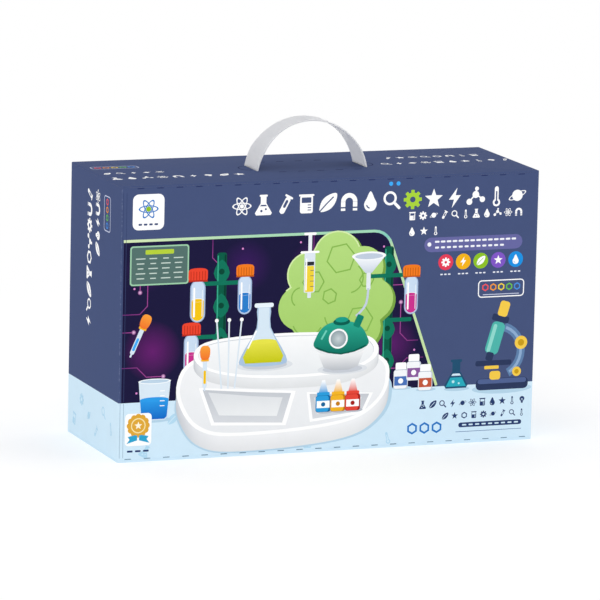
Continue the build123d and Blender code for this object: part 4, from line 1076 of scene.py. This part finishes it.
def window(art, foot):
    """The dark window behind the apparatus: its glows, its lit circuit lines and its pale green edge."""
    night, left, top, circuit = "#1D1A3D", -222, 223, "#6E2C74"
    spread = [math.radians(a) for a in range(0, 76, 15)]
    right_side = [(44 + 20 * math.sin(a), 203 + 20 * math.cos(a)) for a in spread] + [(116, foot)]
    art.shape([(left, foot), (left, top)] + right_side, night)
    for x, y, radius, glow in (
        (-190, 112, 31, "#64206C"), (-12, 186, 36, "#4A1D63"), (66, 108, 29, "#5A1F68"),
        (-92, 194, 28, "#3A1C5C"), (-196, 196, 24, "#431A5E"), (52, 180, 24, "#571F66"),
    ):
        art.disc(x, y, radius, night, core=glow)
    for route in (
        [(-222, 150), (-204, 150), (-196, 158), (-196, 214)],
        [(-222, 96), (-206, 96), (-196, 86), (-178, 86)],
        [(-212, 200), (-204, 192), (-204, 172)], [(-20, 223), (-20, 206), (-8, 194), (22, 194)],
        [(6, 223), (6, 210), (16, 200), (48, 200)], [(96, 110), (84, 110), (76, 118), (76, 150)],
        [(58, 196), (58, 176), (66, 168), (86, 168)], [(-128, 223), (-128, 204), (-118, 194)],
        [(-222, 132), (-210, 132)], [(102, 92), (84, 92), (74, 82), (62, 82)],
        [(30, 178), (44, 164), (44, 146)],
    ):
        art.line(route, 0.9, circuit, end="#B0509C")
        art.disc(*route[-1], 2.4, circuit, core="#F3C2E8")
    for x, y in (
        (-210, 176), (-186, 204), (-96, 212), (-34, 216), (56, 208), (92, 100), (100, 76), (-206, 70),
        (66, 100),
    ):
        art.disc(x, y, 1.1, "#E08AD0")
    edge = [(x + 1.3, y + 1.3) for x, y in right_side]
    corner = (-80, top + 1.3)
    art.line([(left, top + 1.3), corner], 2.8, edge_green, end="#A9D8B4")
    art.line([corner, *edge[:4]], 2.8, "#A9D8B4", end="#7FC9BB")
    art.line(edge[3:], 2.8, "#7FC9BB", end="#CBE2A2")


def hung_apparatus(art):
    """The chart, the posts, the bush board, and what hangs from them."""
    art.bar(-184, 199, 62, 40, "#9CCBA9", 3)
    art.bar(-184, 199, 59, 37, "#54706B", 2)
    art.bar(-184, 212.5, 30, 4.6, "#B4CE3C", 1)
    for i in range(5):
        for k in range(4):
            art.bar(-204 + 13.3 * k, 206 - 5 * i, 10 - 2 * ((i + k) % 3), 1.1, "#C6D6CE")
    art.stamp(green_post, -118, 140, 138)
    art.stamp(green_post, 62, 142, 132)
    art.stamp(bush_board, 6, 162, 128)
    for low, high, y in ((-146, -92, 178), (-150, -118, 124), (38, 88, 178), (62, 88, 132)):
        art.bar((low + high) / 2, y, high - low, 4.2, post_green, 1.6)
    for x, y, height, liquid, cap in (
        (-143, 166, 54, "#F2C313", red_cap), (-93, 170, 50, "#2D7CC9", orange_cap),
        (-149, 112, 52, "#C8338C", red_cap), (87, 162, 50, "#C8338C", orange_cap),
    ):
        art.stamp(glass_tube, x, y, height, liquid, *cap)
    art.stamp(clear_funnel, 40, 184, 42)
    stem = flowing([(40, 166), (38, 150), (30, 140), (24, 136), (30, 140), (38, 150)], 3)
    art.line(stem[:8], 2.4, "#C3CEE0")
    art.stamp(dosing_syringe, -24, 186, 78, "#F0D23A")


def standing_apparatus(art):
    """The bench and what stands on it and round it, each with a soft shadow at its foot."""
    art.stamp(work_bench, -50, 62, 1)
    art.stamp(glass_flask, -72, 124, 64, *yellow_liquid)
    art.stamp(round_pot, 12, 110, 54)
    for x, y, radius in ((-186, 42, 17), (79, 61, 11), (106, 58, 11), (140, 57, 14), (190, 55, 33)):
        art.disc(x, y, radius, shadow_ink, flat=0.16)
    art.stamp(glass_beaker, -187, 62, 42, *blue_liquid)
    for i, dye in enumerate((blue_dye, ("#F2B428", "#C27A10"), ("#E4473A", "#A31D18"))):
        art.disc(-4 + 16 * i, 41, 9, "#B9BFC9", flat=0.25)
        art.stamp(pointed_bottle, -6 + 16 * i, 57, 33, *dye)
    for x, y, mark in ((78, 74, "#4A72B8"), (92, 82, "#8A5A9C"), (105, 71, "#C2583C")):
        art.stamp(white_bottle, x, y, 28, mark)
    art.stamp(bulb_dropper, -204, 128, 46, "#3FA9F5", turn=-24)
    art.stamp(bulb_dropper, -134, 92, 46, "#F2C313")
    for x in (-116, -109, -102):
        end = (x + 0.9 * (x + 109), 140)
        art.line([(x, 70), end], 1.6, "#DCE7F1")
        art.disc(*end, 2, white)


def microscope(art):
    """A plain microscope seen from its side, in millimetres."""
    dark, steel, brass, teal = "#2E3A5C", "#5F7FA8", "#F2C94C", "#4FB3A9"
    art.bar(4, -36, 58, 12, dark, 5)
    art.bar(4, -33, 54, 5, "#50618F", 2.5)
    art.arc(-2, -2, 26, 9, -62, 74, steel)
    art.arc(-2, -2, 26, 3, -58, 70, "#8CAACD")
    art.bar(-6, -14, 40, 5.5, dark, 2)
    art.bar(-8, -18.5, 16, 3.5, brass, 1)
    art.bar(-4, -27, 12, 9, brass, 3)
    for x, y, width, height, colour, corner in (
        (-5, 12, 15, 34, teal, 5), (-8.5, 12, 4, 30, "#8FD6CB", 2), (0.5, 32, 19, 7, dark, 2),
        (4, 42, 11, 16, brass, 3), (-10.5, -7, 8, 9, dark, 2),
    ):
        art.bar(x, y, width, height, colour, corner, turn=-16)
    for x, y, radius in ((24, 6, 7), (20, -24, 5)):
        art.disc(x, y, radius, brass)
        art.disc(x, y, radius * 0.5, "#C79A1E")


def filled_flask(art, ground):
    """The flask pictogram in dark glass with a blue liquid."""
    flask(art, "#24506F", ground)
    art.shape([(-0.2, -0.1), (-0.36, -0.4), (0.36, -0.4), (0.2, -0.1)], "#2BA7B9")
    art.disc(-0.1, -0.24, 0.05, "#BCE8EE")
    art.disc(0.1, -0.3, 0.035, "#BCE8EE")


def upper_rows(art, ground):
    """Rows of white and coloured pictograms above and beside the window."""
    pictogram_row(art, (-98, 255), (201, 255), 21.5, 14, ground, accents=((8, "#A8D13C"),))
    for x in (62, 70):
        art.disc(x, 272, 2.2, "#3FA9F5")
    pictogram_row(art, (86, 238), (203, 238), 9.5, 11, ground, first=3, stride=5)
    pictogram_row(art, (86, 222), (112, 222), 9.5, 3, ground, first=6, stride=3)
    art.bar(154, 207.5, 108, 15, "#66679F", 7.5)
    art.disc(105.5, 208, 2.2, "#F2F4FA")
    art.dashes(114, 210.5, 6.5, 14, 5, 2, "#F2F4FA", 0.8)
    art.dashes(114, 204.5, 6.5, 12, 4.4, 2, "#F2F4FA", 0.8)
    for i, (colour, glyph) in enumerate(
        (("#E23E57", gear), ("#F2B21B", bolt), ("#8CBF26", leaf), ("#7E57C2", star), ("#1F8FE0", drop))
    ):
        x = 124 + 19.3 * i
        art.disc(x, 189, 8.2, colour)
        art.stamp(glyph, x, 189, 10.5, white, colour)
        art.dashes(x - 4.2, 176.5, 4.2, 3, 2.8, 1.4, "#E9ECF6", 0.6)
    art.frame(186, 159.5, 51, 18, 1.1, white, 4)
    crystal_row(art, 168.5, 161, 8.8, 0, 9, spectrum, ground)
    art.line([(166, 153.5), (206, 153.5)], 0.8, frame_grey)


def lower_rows(art, band):
    """Two dark rows at the lower right, three blue hexagons, a dark bar with dashes and a thin line."""
    pictogram_row(art, (103, 42), (213, 42), 9, 11, band, dark_ink, first=1, stride=3)
    pictogram_row(art, (128, 29), (213, 29), 8, 9, band, dark_ink, first=4, stride=5)
    crystal_row(art, 92, 18, 13.5, 0, 14, [atom_ink] * 3, band)
    art.bar(178, 19, 70, 5, dark_ink, 2.5)
    art.dashes(149.5, 19, 7.2, 9, 4.6, 1.5, band, 0.6)
    art.line([(140, 12), (213, 12)], 0.6, "#5C78A8")


def crease_shade_and_cuts(art, foot):
    """Darker lines painted as shade beside the left corner, where the board turns, and the cut dashes along the
    top crease and the foot.
    """
    art.dashes(-205, 276.8, 20.5, 21, 7, 0.9, "#28325C")
    wall_height = 280
    # Painted shade: two darker lines beside the rounded corner, over the ground and over the band
    for x in (-223, -219.4):
        art.bar(x, (wall_height + foot) / 2 - 3, 0.5, wall_height - foot - 8, "#38446B")
        art.bar(x, foot / 2 + 2, 0.5, foot - 5, "#93AEC2")
    art.dashes(-214, 3.2, 20.4, 22, 7, 0.8, "#5F7C92")


def petal(art):
    """One of the discs round a rosette."""
    art.disc(0, 9, 3.2, gold)


def rosette(art):
    """The middle of a gold rosette, with two blue ribbon ends."""
    for side in (-1, 1):
        ribbon = [(1, -9), (11, -11), (9, -14), (12, -18), (1, -15)]
        art.shape([(side * x, y) for x, y in ribbon], "#2FA3CE")
    for radius, colour in ((10, gold), (7.8, "#F6E3A6"), (6.6, gold)):
        art.disc(0, 0, radius, colour)


def front_artwork(art):
    """Front wall: the window with the apparatus, drawn from the back forwards, and the rows round it."""
    look = bpy.context.scene.kit_board
    foot = look.band_height / MM
    window(art, foot)
    for i, x in enumerate(range(-196, 80, 29)):
        y, turn = 26 + 16 * ((i * 5) % 3 - 1), 14 * ((i * 7) % 5 - 2)
        art.stamp(pictogram(i * 3 + 1), x, y, 13, doodle_ink, look.band, turn=turn)
    hung_apparatus(art)
    standing_apparatus(art)
    upper_rows(art, look.ground)
    art.stamp(microscope, 186, 96, 1)
    art.stamp(filled_flask, 139, 72, 31, look.band)
    lower_rows(art, look.band)
    crease_shade_and_cuts(art, foot)

    # White badge at the upper left and the rosette's badge at the lower left
    art.bar(-196.5, 253, 33, 36, white, 6)
    art.stamp(atom, -196.5, 256, 22, atom_ink, white)
    art.disc(-196.5, 256, 2.64, "#8CBF26")
    art.dashes(-205, 240.5, 5.6, 4, 3.8, 2, ground_ink, 0.8)
    art.bar(-203.5, 33, 28, 33, white, 4)
    for i in range(12):
        art.stamp(petal, -203.5, 37, 1, turn=30 * i)
    art.stamp(rosette, -203.5, 37, 1)
    art.stamp(star, -203.5, 37, 9, "#FFF6DC", gold)
    art.dashes(-212, 11, 8.5, 3, 6, 2, dark_ink, 0.8)


def side_artwork(art):
    """Left and right walls: two upright rows of pictograms, a small badge and doodles on the band."""
    look = bpy.context.scene.kit_board
    pictogram_row(art, (-18, 257), (-18, 127), 16.5, 9, look.ground, first=2, stride=3, turn=-90)
    pictogram_row(art, (7, 258), (7, 205), 15, 5, look.ground, stride=5, turn=-90)
    art.frame(36, 245, 20, 36, 1, frame_grey, 4)
    crystal_row(art, 36, 257, 0, -8, 8, spectrum[:2] + spectrum[3:], look.ground)
    for i in range(6):
        y, turn = 30 + 12 * ((i * 2) % 3 - 1), 12 * (i % 3 - 1)
        art.stamp(pictogram(i * 5 + 3), -58 + 23 * i, y, 14, doodle_ink, look.band, turn=turn)


def back_artwork(art):
    """Back wall: six cards, each with apparatus, between two rows of pictograms."""
    look = bpy.context.scene.kit_board
    pictogram_row(art, (-150, 252), (150, 252), 18, 13, look.ground, first=5, stride=7)
    cards = (
        ("#F2B21B", glass_flask, yellow_liquid),
        ("#1F8FE0", glass_beaker, blue_liquid),
        ("#8CBF26", glass_tube, ("#D62A80", *red_cap)),
        ("#E23E57", bush_board, ()),
        ("#7E57C2", pointed_bottle, blue_dye),
        ("#F07A22", bulb_dropper, ("#F2C313",)),
    )
    for i, (shade, drawing, colours) in enumerate(cards):
        x, y = -140 + 140 * (i % 3), 194 - 82 * (i // 3)
        art.bar(x, y, 126, 72, "#F4F8FC", 6)
        art.bar(x - 34, y, 50, 64, "#DCEBF7", 5)
        art.disc(x + 2, y + 24, 7, shade)
        art.stamp(pictogram(i * 3 + 2), x + 2, y + 24, 8, white, shade)
        for k in range(4):
            art.bar(x + 26 - 3 * (k % 2), y + 6 - 8 * k, 50 - 6 * (k % 2), 2.6, "#8FA3C8", 1.2)
        art.stamp(drawing, x - 34, y, 54, *colours)
    pictogram_row(art, (-190, 28), (190, 28), 12, 16, look.band, "#9CC8E4")


def top_artwork(art):
    """Lid: small pictogram rows, a coloured badge, tear dashes and the half-moon cuts beside the strap."""
    # A real perforation is 0.7 mm wide, too fine to show on the foreshortened lid
    cut_width, cut_ink = 2.2, "#1E2750"
    ground = bpy.context.scene.kit_board.ground
    pictogram_row(art, (-214, -2), (-158, -2), 10, 5, ground, first=4, stride=3)
    pictogram_row(art, (-215, -33), (-84, -33), 13, 9, ground, first=1, stride=5)
    art.frame(-194, 34, 50, 15, 1, frame_grey, 4)
    crystal_row(art, -212, 34, 9, 0, 9, spectrum, ground)
    pictogram_row(art, (102, 30), (198, 30), 11, 8, ground, first=2, stride=7)
    pictogram_row(art, (86, -5), (218, -5), 12, 10, ground, first=7, stride=3)
    art.dashes(-36, 34, 20.5, 4, 8, cut_width, cut_ink)
    art.dashes(-36, -29, 20.5, 5, 8, cut_width, cut_ink)
    for x, start in ((-64, 80), (64, -100)):
        art.arc(x, 0, 8, 1.1, start, start + 200, cut_ink, flat=1.5)


def ink_sheet(name, drawing, place, body, ink, strip=None):
    """Turns a drawing into a sheet of thin ink layers, cut into strips where it goes round something."""
    art = Artwork()
    drawing(art)
    layer = min(ink_layer, 0.9 * print_depth / max(shape[3] for shape in art.shapes))
    sheet = bmesh.new()
    tint = sheet.loops.layers.float_color.new("ink")
    for points, faces, shades, level in (shape[:4] for shape in art.shapes):
        spots = [sheet.verts.new((p.x, p.y, level)) for p in points]
        for corners in faces:
            pairs = [(points[a], points[b]) for a, b in zip(corners, corners[1:] + corners[:1])]
            area = sum(p.x * q.y - q.x * p.y for p, q in pairs)
            order = corners if area > 0 else corners[::-1]
            face = sheet.faces.new([spots[i] for i in order])
            for loop, i in zip(face.loops, order):
                loop[tint] = shades[i]
    if strip:
        count = int(max(abs(v.co.x) for v in sheet.verts) / strip)
        for step in range(-count, count + 1):
            everything = [*sheet.verts, *sheet.edges, *sheet.faces]
            bmesh.ops.bisect_plane(
                sheet, geom=everything, plane_co=(step * strip, 0, 0), plane_no=(1, 0, 0)
            )
    for vertex in sheet.verts:
        vertex.co = place(vertex.co.x, vertex.co.y, vertex.co.z * layer)
    mesh = bpy.data.meshes.new(name)
    sheet.to_mesh(mesh)
    sheet.free()
    mesh.materials.append(kit[ink])
    piece = bpy.data.objects.new(name, mesh)
    bpy.context.scene.collection.objects.link(piece)
    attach(piece, body)


def on_face(middle, across, up):
    """Places a drawing on a flat face."""
    middle, across, up = Vector(middle), Vector(across), Vector(up)
    out = across.cross(up)
    return lambda x, y, lift: middle + (across * x + up * y) * MM + out * lift


def wrap(name, drawing, node, radius, ink, strip):
    """Prints a drawing round an upright body at a node's middle; radius gives its radius at a height."""
    low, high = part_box(node)
    middle_x, middle_y = (low.x + high.x) / 2, (low.y + high.y) / 2

    def place(x, y, lift):
        turn = x / radius(y)
        reach = radius(y) * MM + lift
        return Vector((middle_x + reach * math.sin(turn), middle_y - reach * math.cos(turn), y * MM))

    ink_sheet(name, drawing, place, "carton", ink, strip)


class KIT_OT_print(bpy.types.Operator):
    """The offset print on the four walls and the lid"""

    bl_idname = "kit.print"
    bl_label = "Carton print"

    def execute(self, context):
        x, y, z = (1, 0, 0), (0, 1, 0), (0, 0, 1)
        for name, drawing, middle, across, up, body in (
            ("front_print", front_artwork, (0, -face_y, 0), x, z, "carton"),
            ("back_print", back_artwork, (0, face_y, 0), (-1, 0, 0), z, "carton"),
            ("left_print", side_artwork, (-face_x, 0, 0), (0, -1, 0), z, "carton"),
            ("right_print", side_artwork, (face_x, 0, 0), y, z, "carton"),
            ("lid_print", top_artwork, (0, 0, face_z), x, y, "lid"),
        ):
            ink_sheet(name, drawing, on_face(middle, across, up), body, "offset_ink")
        return {"FINISHED"}


def bottle_label(art, colour, glyph, low, high, reach):
    """A white wrap-round label with a coloured band, a pictogram and rows of small dashes."""
    paper, small_ink = "#F8F9FB", "#3B4A78"
    middle = (low + high) / 2
    art.bar(0, middle, 2 * reach, high - low, paper, 1)
    art.bar(0, high - 2.4, 2 * reach - 1, 4, colour)
    art.stamp(glyph, 0, middle - 2, (high - low) * 0.42, colour, paper)
    for side in (-1, 1):
        for row in range(3):
            art.dashes(side * 9, middle + 0.4 - 2.4 * row, side * 2.9, 4, 2.2, 0.8, small_ink)
    art.dashes(-4.8, low + 1.6, 2.4, 5, 1.7, 0.7, small_ink)


def graduation(art, low, count, step, width):
    """A scale of blue lines, every fifth one longer."""
    for i in range(count):
        reach = width * (0.55 if i % 5 else 1)
        art.bar(reach / 2, low + i * step, reach, 0.5, "#2F6FB0")


def chart_artwork(art):
    """A lime heading bar over four columns of pale dashes, ruled apart."""
    art.frame(0, 0, 84, 54, 0.5, "#9CCBA9", 2)
    art.bar(0, 21.5, 44, 5.4, "#B4CE3C", 1.2)
    art.dashes(-15.6, 21.5, 5.2, 7, 3.6, 1.6, "#2C4741", 0.6)
    for column in range(4):
        x = 20 * column - 30
        if column:
            art.bar(x - 10, -5, 0.4, 40, "#6F9285")
        for row in range(9):
            short = (row * 3 + column) % 4
            art.bar(x - 0.8 * short, 12.5 - 4.4 * row, 15 - 1.6 * short, 1.5, "#C6D6CE", 0.5)


def booklet_artwork(art):
    """Booklet cover, from its foot: rows of dashes, a ring of hexagons, and pictograms on its dark head."""
    paper = "#F6F6F2"
    pictogram_row(art, (-70, 226), (70, 226), 15, 8, ground_ink)
    art.bar(0, 211, 150, 1.4, edge_green, 0.6)
    for i, colour in enumerate((*spectrum, "#7E57C2")):
        turn = math.radians(60 * i)
        art.stamp(crystal, 34 * math.sin(turn), 128 + 34 * math.cos(turn), 32, colour, paper)
    art.stamp(atom, 0, 128, 30, atom_ink, paper)
    for row in range(4):
        art.dashes(-60 + 7.5 * (row % 2), 40 - 8 * row, 15, 9 - row % 2, 11, 2, "#5C78A8", 0.8)


class KIT_OT_labels(bpy.types.Operator):
    """The print on chart and booklet, the bottles' labels, and the scales on the glassware and the syringe"""

    bl_idname = "kit.labels"
    bl_label = "Labels and scales"

    def execute(self, context):
        front, back, up = (1, 0, 0), (-1, 0, 0), (0, 0, 1)
        # The chart's face lies this far behind its raised frame
        frame_relief = 0.6 * MM
        low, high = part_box("chart_board")
        face = on_face(((low.x + high.x) / 2, low.y + frame_relief, (low.z + high.z) / 2), front, up)
        ink_sheet("chart_print", chart_artwork, face, "carton", "chart_ink")
        low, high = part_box("instruction_booklet")
        for name, y, across in (("booklet_front_print", low.y, front), ("booklet_back_print", high.y, back)):
            ink_sheet(name, booklet_artwork, on_face((0, y, low.z), across, up), "carton", "label_ink")

        # Labels: the heights of their foot and top above the bottle's foot, and half their length round it
        low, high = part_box("reagent_bottles")
        foot, radius = low.z / MM, (high.y - low.y) / (2 * MM)
        shades = ("#2478C2", "#D03126", "#2478C2", "#D79A12")
        for number, (shade, glyph) in enumerate(zip(shades, (flask, drop, molecule, crystal)), 1):
            wrap(
                f"reagent_label_{number}",
                lambda art: bottle_label(art, shade, glyph, foot + 5, foot + 37, 36),
                f"reagent_cap_{number}", lambda z: radius, "label_ink", 1.2,
            )
        for colour, shade in (("blue", "#1F6CB4"), ("yellow", "#D79A12"), ("red", "#C22F24")):
            node = f"dye_bottle_{colour}"
            low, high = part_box(node)
            foot, radius = low.z / MM, (high.x - low.x) / (2 * MM)
            wrap(
                f"dye_label_{colour}",
                lambda art: bottle_label(art, shade, drop, foot + 3, foot + 19, 26),
                node, lambda z: radius, "label_ink", 1.0,
            )

        # Scales: the first line's height, the number of lines, their step and width, and the body's radius at
        # two heights, with all heights above the node's foot
        for node, first, count, step, width, (start, start_radius), (end, end_radius) in (
            ("beaker", 8, 21, 2, 9, (1, 23), (60, 25)),
            ("conical_flask", 8, 16, 2, 8, (5, 26), (48, 12)),
            ("syringe_barrel", 16, 41, 1.6, 7, (12, 9.5), (98, 9.5)),
        ):
            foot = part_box(node)[0].z / MM
            wrap(
                f"{node}_scale",
                lambda art: graduation(art, foot + first, count, step, width),
                node,
                lambda z: start_radius + (end_radius - start_radius) * (z - foot - start) / (end - start),
                "scale_ink", 1.0,
            )
        return {"FINISHED"}


# The record's slots whose finish has another name, and the nodes with a finish of their own
SLOT_FINISHES = {
    "carton_board": "printed_board",
    "inner_board": "board_liner",
    "bulb_yellow_rubber": "yellow_rubber",
    "bulb_red_rubber": "red_rubber",
}
NODE_FINISHES = {
    "tuck_flap": "tuck_board",
    "dust_flap_left": "dust_board",
    "dust_flap_right": "dust_board",
    "syringe_plunger": "cap_plastic",
    "measuring_spoon": "cap_plastic",
    **{f"reagent_cap_{number}": "cap_plastic" for number in (1, 2, 3, 4)},
}


class KIT_OT_contents(bpy.types.Operator):
    """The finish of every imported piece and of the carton's inner flaps"""

    bl_idname = "kit.contents"
    bl_label = "Packed apparatus"

    def execute(self, context):
        for part in frame["record"]["subparts"]:
            slot = part["material_slot"]
            finish = NODE_FINISHES.get(part["node"], SLOT_FINISHES.get(slot, slot))
            for material_slot in frame["nodes"][part["node"]].material_slots:
                material_slot.material = kit[finish]
        return {"FINISHED"}


# The studio: lamps with their place and size in metres and their power in watts, and the point they aim at
LAMPS = (
    ("key", (-2.0, -2.6, 2.2), 2.4, 17),
    ("side", (-3.0, 0.2, 0.9), 2.4, 4),
    ("fill", (2.6, -1.8, 1.4), 2.4, 10),
    ("top", (0.2, 0.4, 3.0), 2.0, 5),
)
lamp_aim = Vector((0, 0, 0.15))
floor_side = 60
# The floor keeps the object's shadow within the first distance and shows plain white beyond the second
shadow_reach = (0.3, 0.9)
# The camera, from a fit to the carton's seven visible corners: metres, degrees, and pixels of the picture
camera_place = (-1.8666, -4.8335, 1.1028)
camera_azimuth, camera_elevation, camera_roll = -21.086, 10.516, 1.325
focal_pixels, picture_pixels = 5152.8, 600


class KIT_OT_stage(bpy.types.Operator):
    """White floor, soft studio light and the camera at the photograph's angle"""

    bl_idname = "kit.stage"
    bl_label = "Stage"

    def execute(self, context):
        made, tree, point = new_material("white_studio_floor")
        paper = add_node(tree, "BsdfDiffuse", {"Color": "#F4F4F4"})
        glow = add_node(tree, "Emission", {"Color": white, "Strength": 0.2})
        near = add_node(tree, "AddShader", {0: paper, 1: glow})
        path = add_node(tree, "LightPath", {})
        seen = path.outputs["Is Camera Ray"]
        for kind in ("Is Glossy Ray", "Is Transmission Ray"):
            seen = add_node(tree, "Math", {"operation": "MAXIMUM", 0: seen, 1: path.outputs[kind]})
        distance = add_node(tree, "VectorMath", {"operation": "LENGTH", 0: point})
        fade = {"interpolation_type": "SMOOTHSTEP", "From Min": shadow_reach[0], "From Max": shadow_reach[1]}
        away = add_node(tree, "MapRange", {**fade, "Value": distance})
        share = add_node(tree, "Math", {"operation": "MULTIPLY", 0: seen, 1: away})
        plain = add_node(tree, "Emission", {"Color": white, "Strength": 1.0})
        both = add_node(tree, "MixShader", {0: share, 1: near, 2: plain})
        add_node(tree, "OutputMaterial", {"Surface": both})
        floor = start_piece("floor", bpy.ops.mesh.primitive_plane_add, size=floor_side, location=(0, 0, 0))
        settle(floor, made)

        world = bpy.data.worlds.new("studio")
        context.scene.world = world
        world.use_nodes = True
        tree = world.node_tree
        tree.nodes.clear()
        path = add_node(tree, "LightPath", {})
        rays = {0: path.outputs["Is Camera Ray"], 1: path.outputs["Is Transmission Ray"]}
        seen = add_node(tree, "Math", {"operation": "MAXIMUM", **rays})
        power = add_node(tree, "MapRange", {"Value": seen, "To Min": 0.82, "To Max": 1.0})
        sky = add_node(tree, "Background", {"Color": white, "Strength": power})
        add_node(tree, "OutputWorld", {"Surface": sky})

        for name, place, size, power in LAMPS:
            bpy.ops.object.light_add(type="AREA", location=place)
            lamp = context.object
            lamp.name = name
            lamp.data.size = size
            lamp.data.energy = power
            lamp.rotation_euler = (lamp_aim - Vector(place)).to_track_quat("-Z", "Y").to_euler()

        azimuth, elevation, roll = map(math.radians, (camera_azimuth, camera_elevation, camera_roll))
        forward = Vector((
            -math.sin(azimuth) * math.cos(elevation), math.cos(azimuth) * math.cos(elevation),
            -math.sin(elevation),
        ))
        level = Vector((math.cos(azimuth), math.sin(azimuth), 0))
        upright = level.cross(forward)
        right = level * math.cos(roll) + upright * math.sin(roll)
        turned = Matrix((right, right.cross(forward), -forward)).transposed().to_4x4()
        bpy.ops.object.camera_add(location=camera_place)
        camera = context.object
        camera.name = "photograph_camera"
        camera.matrix_world = Matrix.Translation(camera.location) @ turned
        camera.data.lens = focal_pixels / picture_pixels * camera.data.sensor_width
        camera.data.clip_end = 100
        context.scene.camera = camera
        context.scene.view_settings.view_transform = "Standard"
        return {"FINISHED"}


# The finishes that are made, by their short names
kit = {}

# Moulded finishes: short name, material, the record's slot, light and dark shade, roughness
MOULDED = (
    ("white_plastic", "white_moulded_polystyrene", "white_plastic", "#F4F5F5", "#E9EBEC", 0.3),
    ("light_green_plastic", "light_green_polypropylene", "light_green_plastic", "#A9CF6B", "#9BC35E", 0.42),
    ("dark_green_plastic", "dark_green_polypropylene", "dark_green_plastic", post_green, "#0F6850", 0.4),
    ("teal_plastic", "teal_moulded_abs", "teal_plastic", "#14897A", "#107A6C", 0.28),
    ("orange_plastic", "orange_polypropylene", "orange_plastic", "#F07A22", "#E36D18", 0.4),
    ("red_plastic", "red_polypropylene", "red_plastic", "#DE3B30", "#D03126", 0.4),
    ("blue_plastic", "blue_polypropylene", "blue_plastic", "#2D86D2", "#2478C2", 0.4),
    ("yellow_plastic", "yellow_polypropylene", "yellow_plastic", "#F4C52C", "#E9B81F", 0.4),
    ("cap_plastic", "natural_white_polyethylene", "white_plastic", "#F1F2F0", "#E4E6E4", 0.42),
    ("yellow_rubber", "yellow_soft_rubber", "bulb_yellow_rubber", "#EFA92B", "#DF9A20", 0.6),
    ("red_rubber", "red_soft_rubber", "bulb_red_rubber", "#D8452F", "#C83B26", 0.6),
    ("black_rubber", "black_seal_rubber", "black_rubber", "#26282A", "#1D1F21", 0.6),
)


class KIT_OT_materials(bpy.types.Operator):
    """Every finish of the carton and of the apparatus"""

    bl_idname = "kit.materials"
    bl_label = "Materials"

    def execute(self, context):
        for make in (
            printed_board, board_liner, fluted_edge, strap_plastic, clear_plastic, fitment_card,
            booklet_paper, chart_face,
        ):
            kit[make.__name__] = make()
        low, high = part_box("tuck_flap")
        kit["tuck_board"] = flap_board("board_of_tuck_flap", "Y", high.y, low.y, high.z - board / 2)
        low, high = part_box("dust_flap_left")
        kit["dust_board"] = flap_board("board_of_dust_flaps", "Z", high.z, low.z)
        for short, name, slot, rough, level, relief in (
            ("offset_ink", "varnished_offset_ink", "carton_board", 0.7, 0.03, board_relief),
            ("label_ink", "coated_paper_label", "booklet_paper", 0.45, 0.4, paper_relief),
            ("scale_ink", "screen_ink_on_plastic", "blue_plastic", 0.4, 0.5, paper_relief),
            ("chart_ink", "screen_ink_on_sheet", "chart_face", 0.45, 0.5, paper_relief),
        ):
            kit[short] = printing_ink(name, slot, rough, level, relief)
        for short, *given in MOULDED:
            kit[short] = moulded_plastic(*given)
        return {"FINISHED"}


STEPS = (
    KIT_OT_materials,
    KIT_OT_sleeve,
    KIT_OT_lid,
    KIT_OT_print,
    KIT_OT_strap,
    KIT_OT_contents,
    KIT_OT_labels,
    KIT_OT_stage,
)


class KIT_PT_panel(bpy.types.Panel):
    """Sizes and colours, and a button for each step, in order"""

    bl_idname = "KIT_PT_panel"
    bl_label = "Science kit"
    bl_space_type = "VIEW_3D"
    bl_region_type = "UI"
    bl_category = "Science kit"

    def draw(self, context):
        for group in (context.scene.kit_board, context.scene.kit_strap):
            for name in group.__annotations__:
                self.layout.prop(group, name)
        for step in STEPS:
            self.layout.operator(step.bl_idname)


CLASSES = (BoardLook, StrapLook, *STEPS, KIT_PT_panel)


def register():
    for made in CLASSES:
        bpy.utils.register_class(made)
    bpy.types.Scene.kit_board = bpy.props.PointerProperty(type=BoardLook)
    bpy.types.Scene.kit_strap = bpy.props.PointerProperty(type=StrapLook)


def unregister():
    del bpy.types.Scene.kit_board
    del bpy.types.Scene.kit_strap
    for made in reversed(CLASSES):
        bpy.utils.unregister_class(made)


def main():
    register()
    for step in STEPS:
        group, name = step.bl_idname.split(".")
        getattr(getattr(bpy.ops, group), name)()


if __name__ == "__main__":
    main()
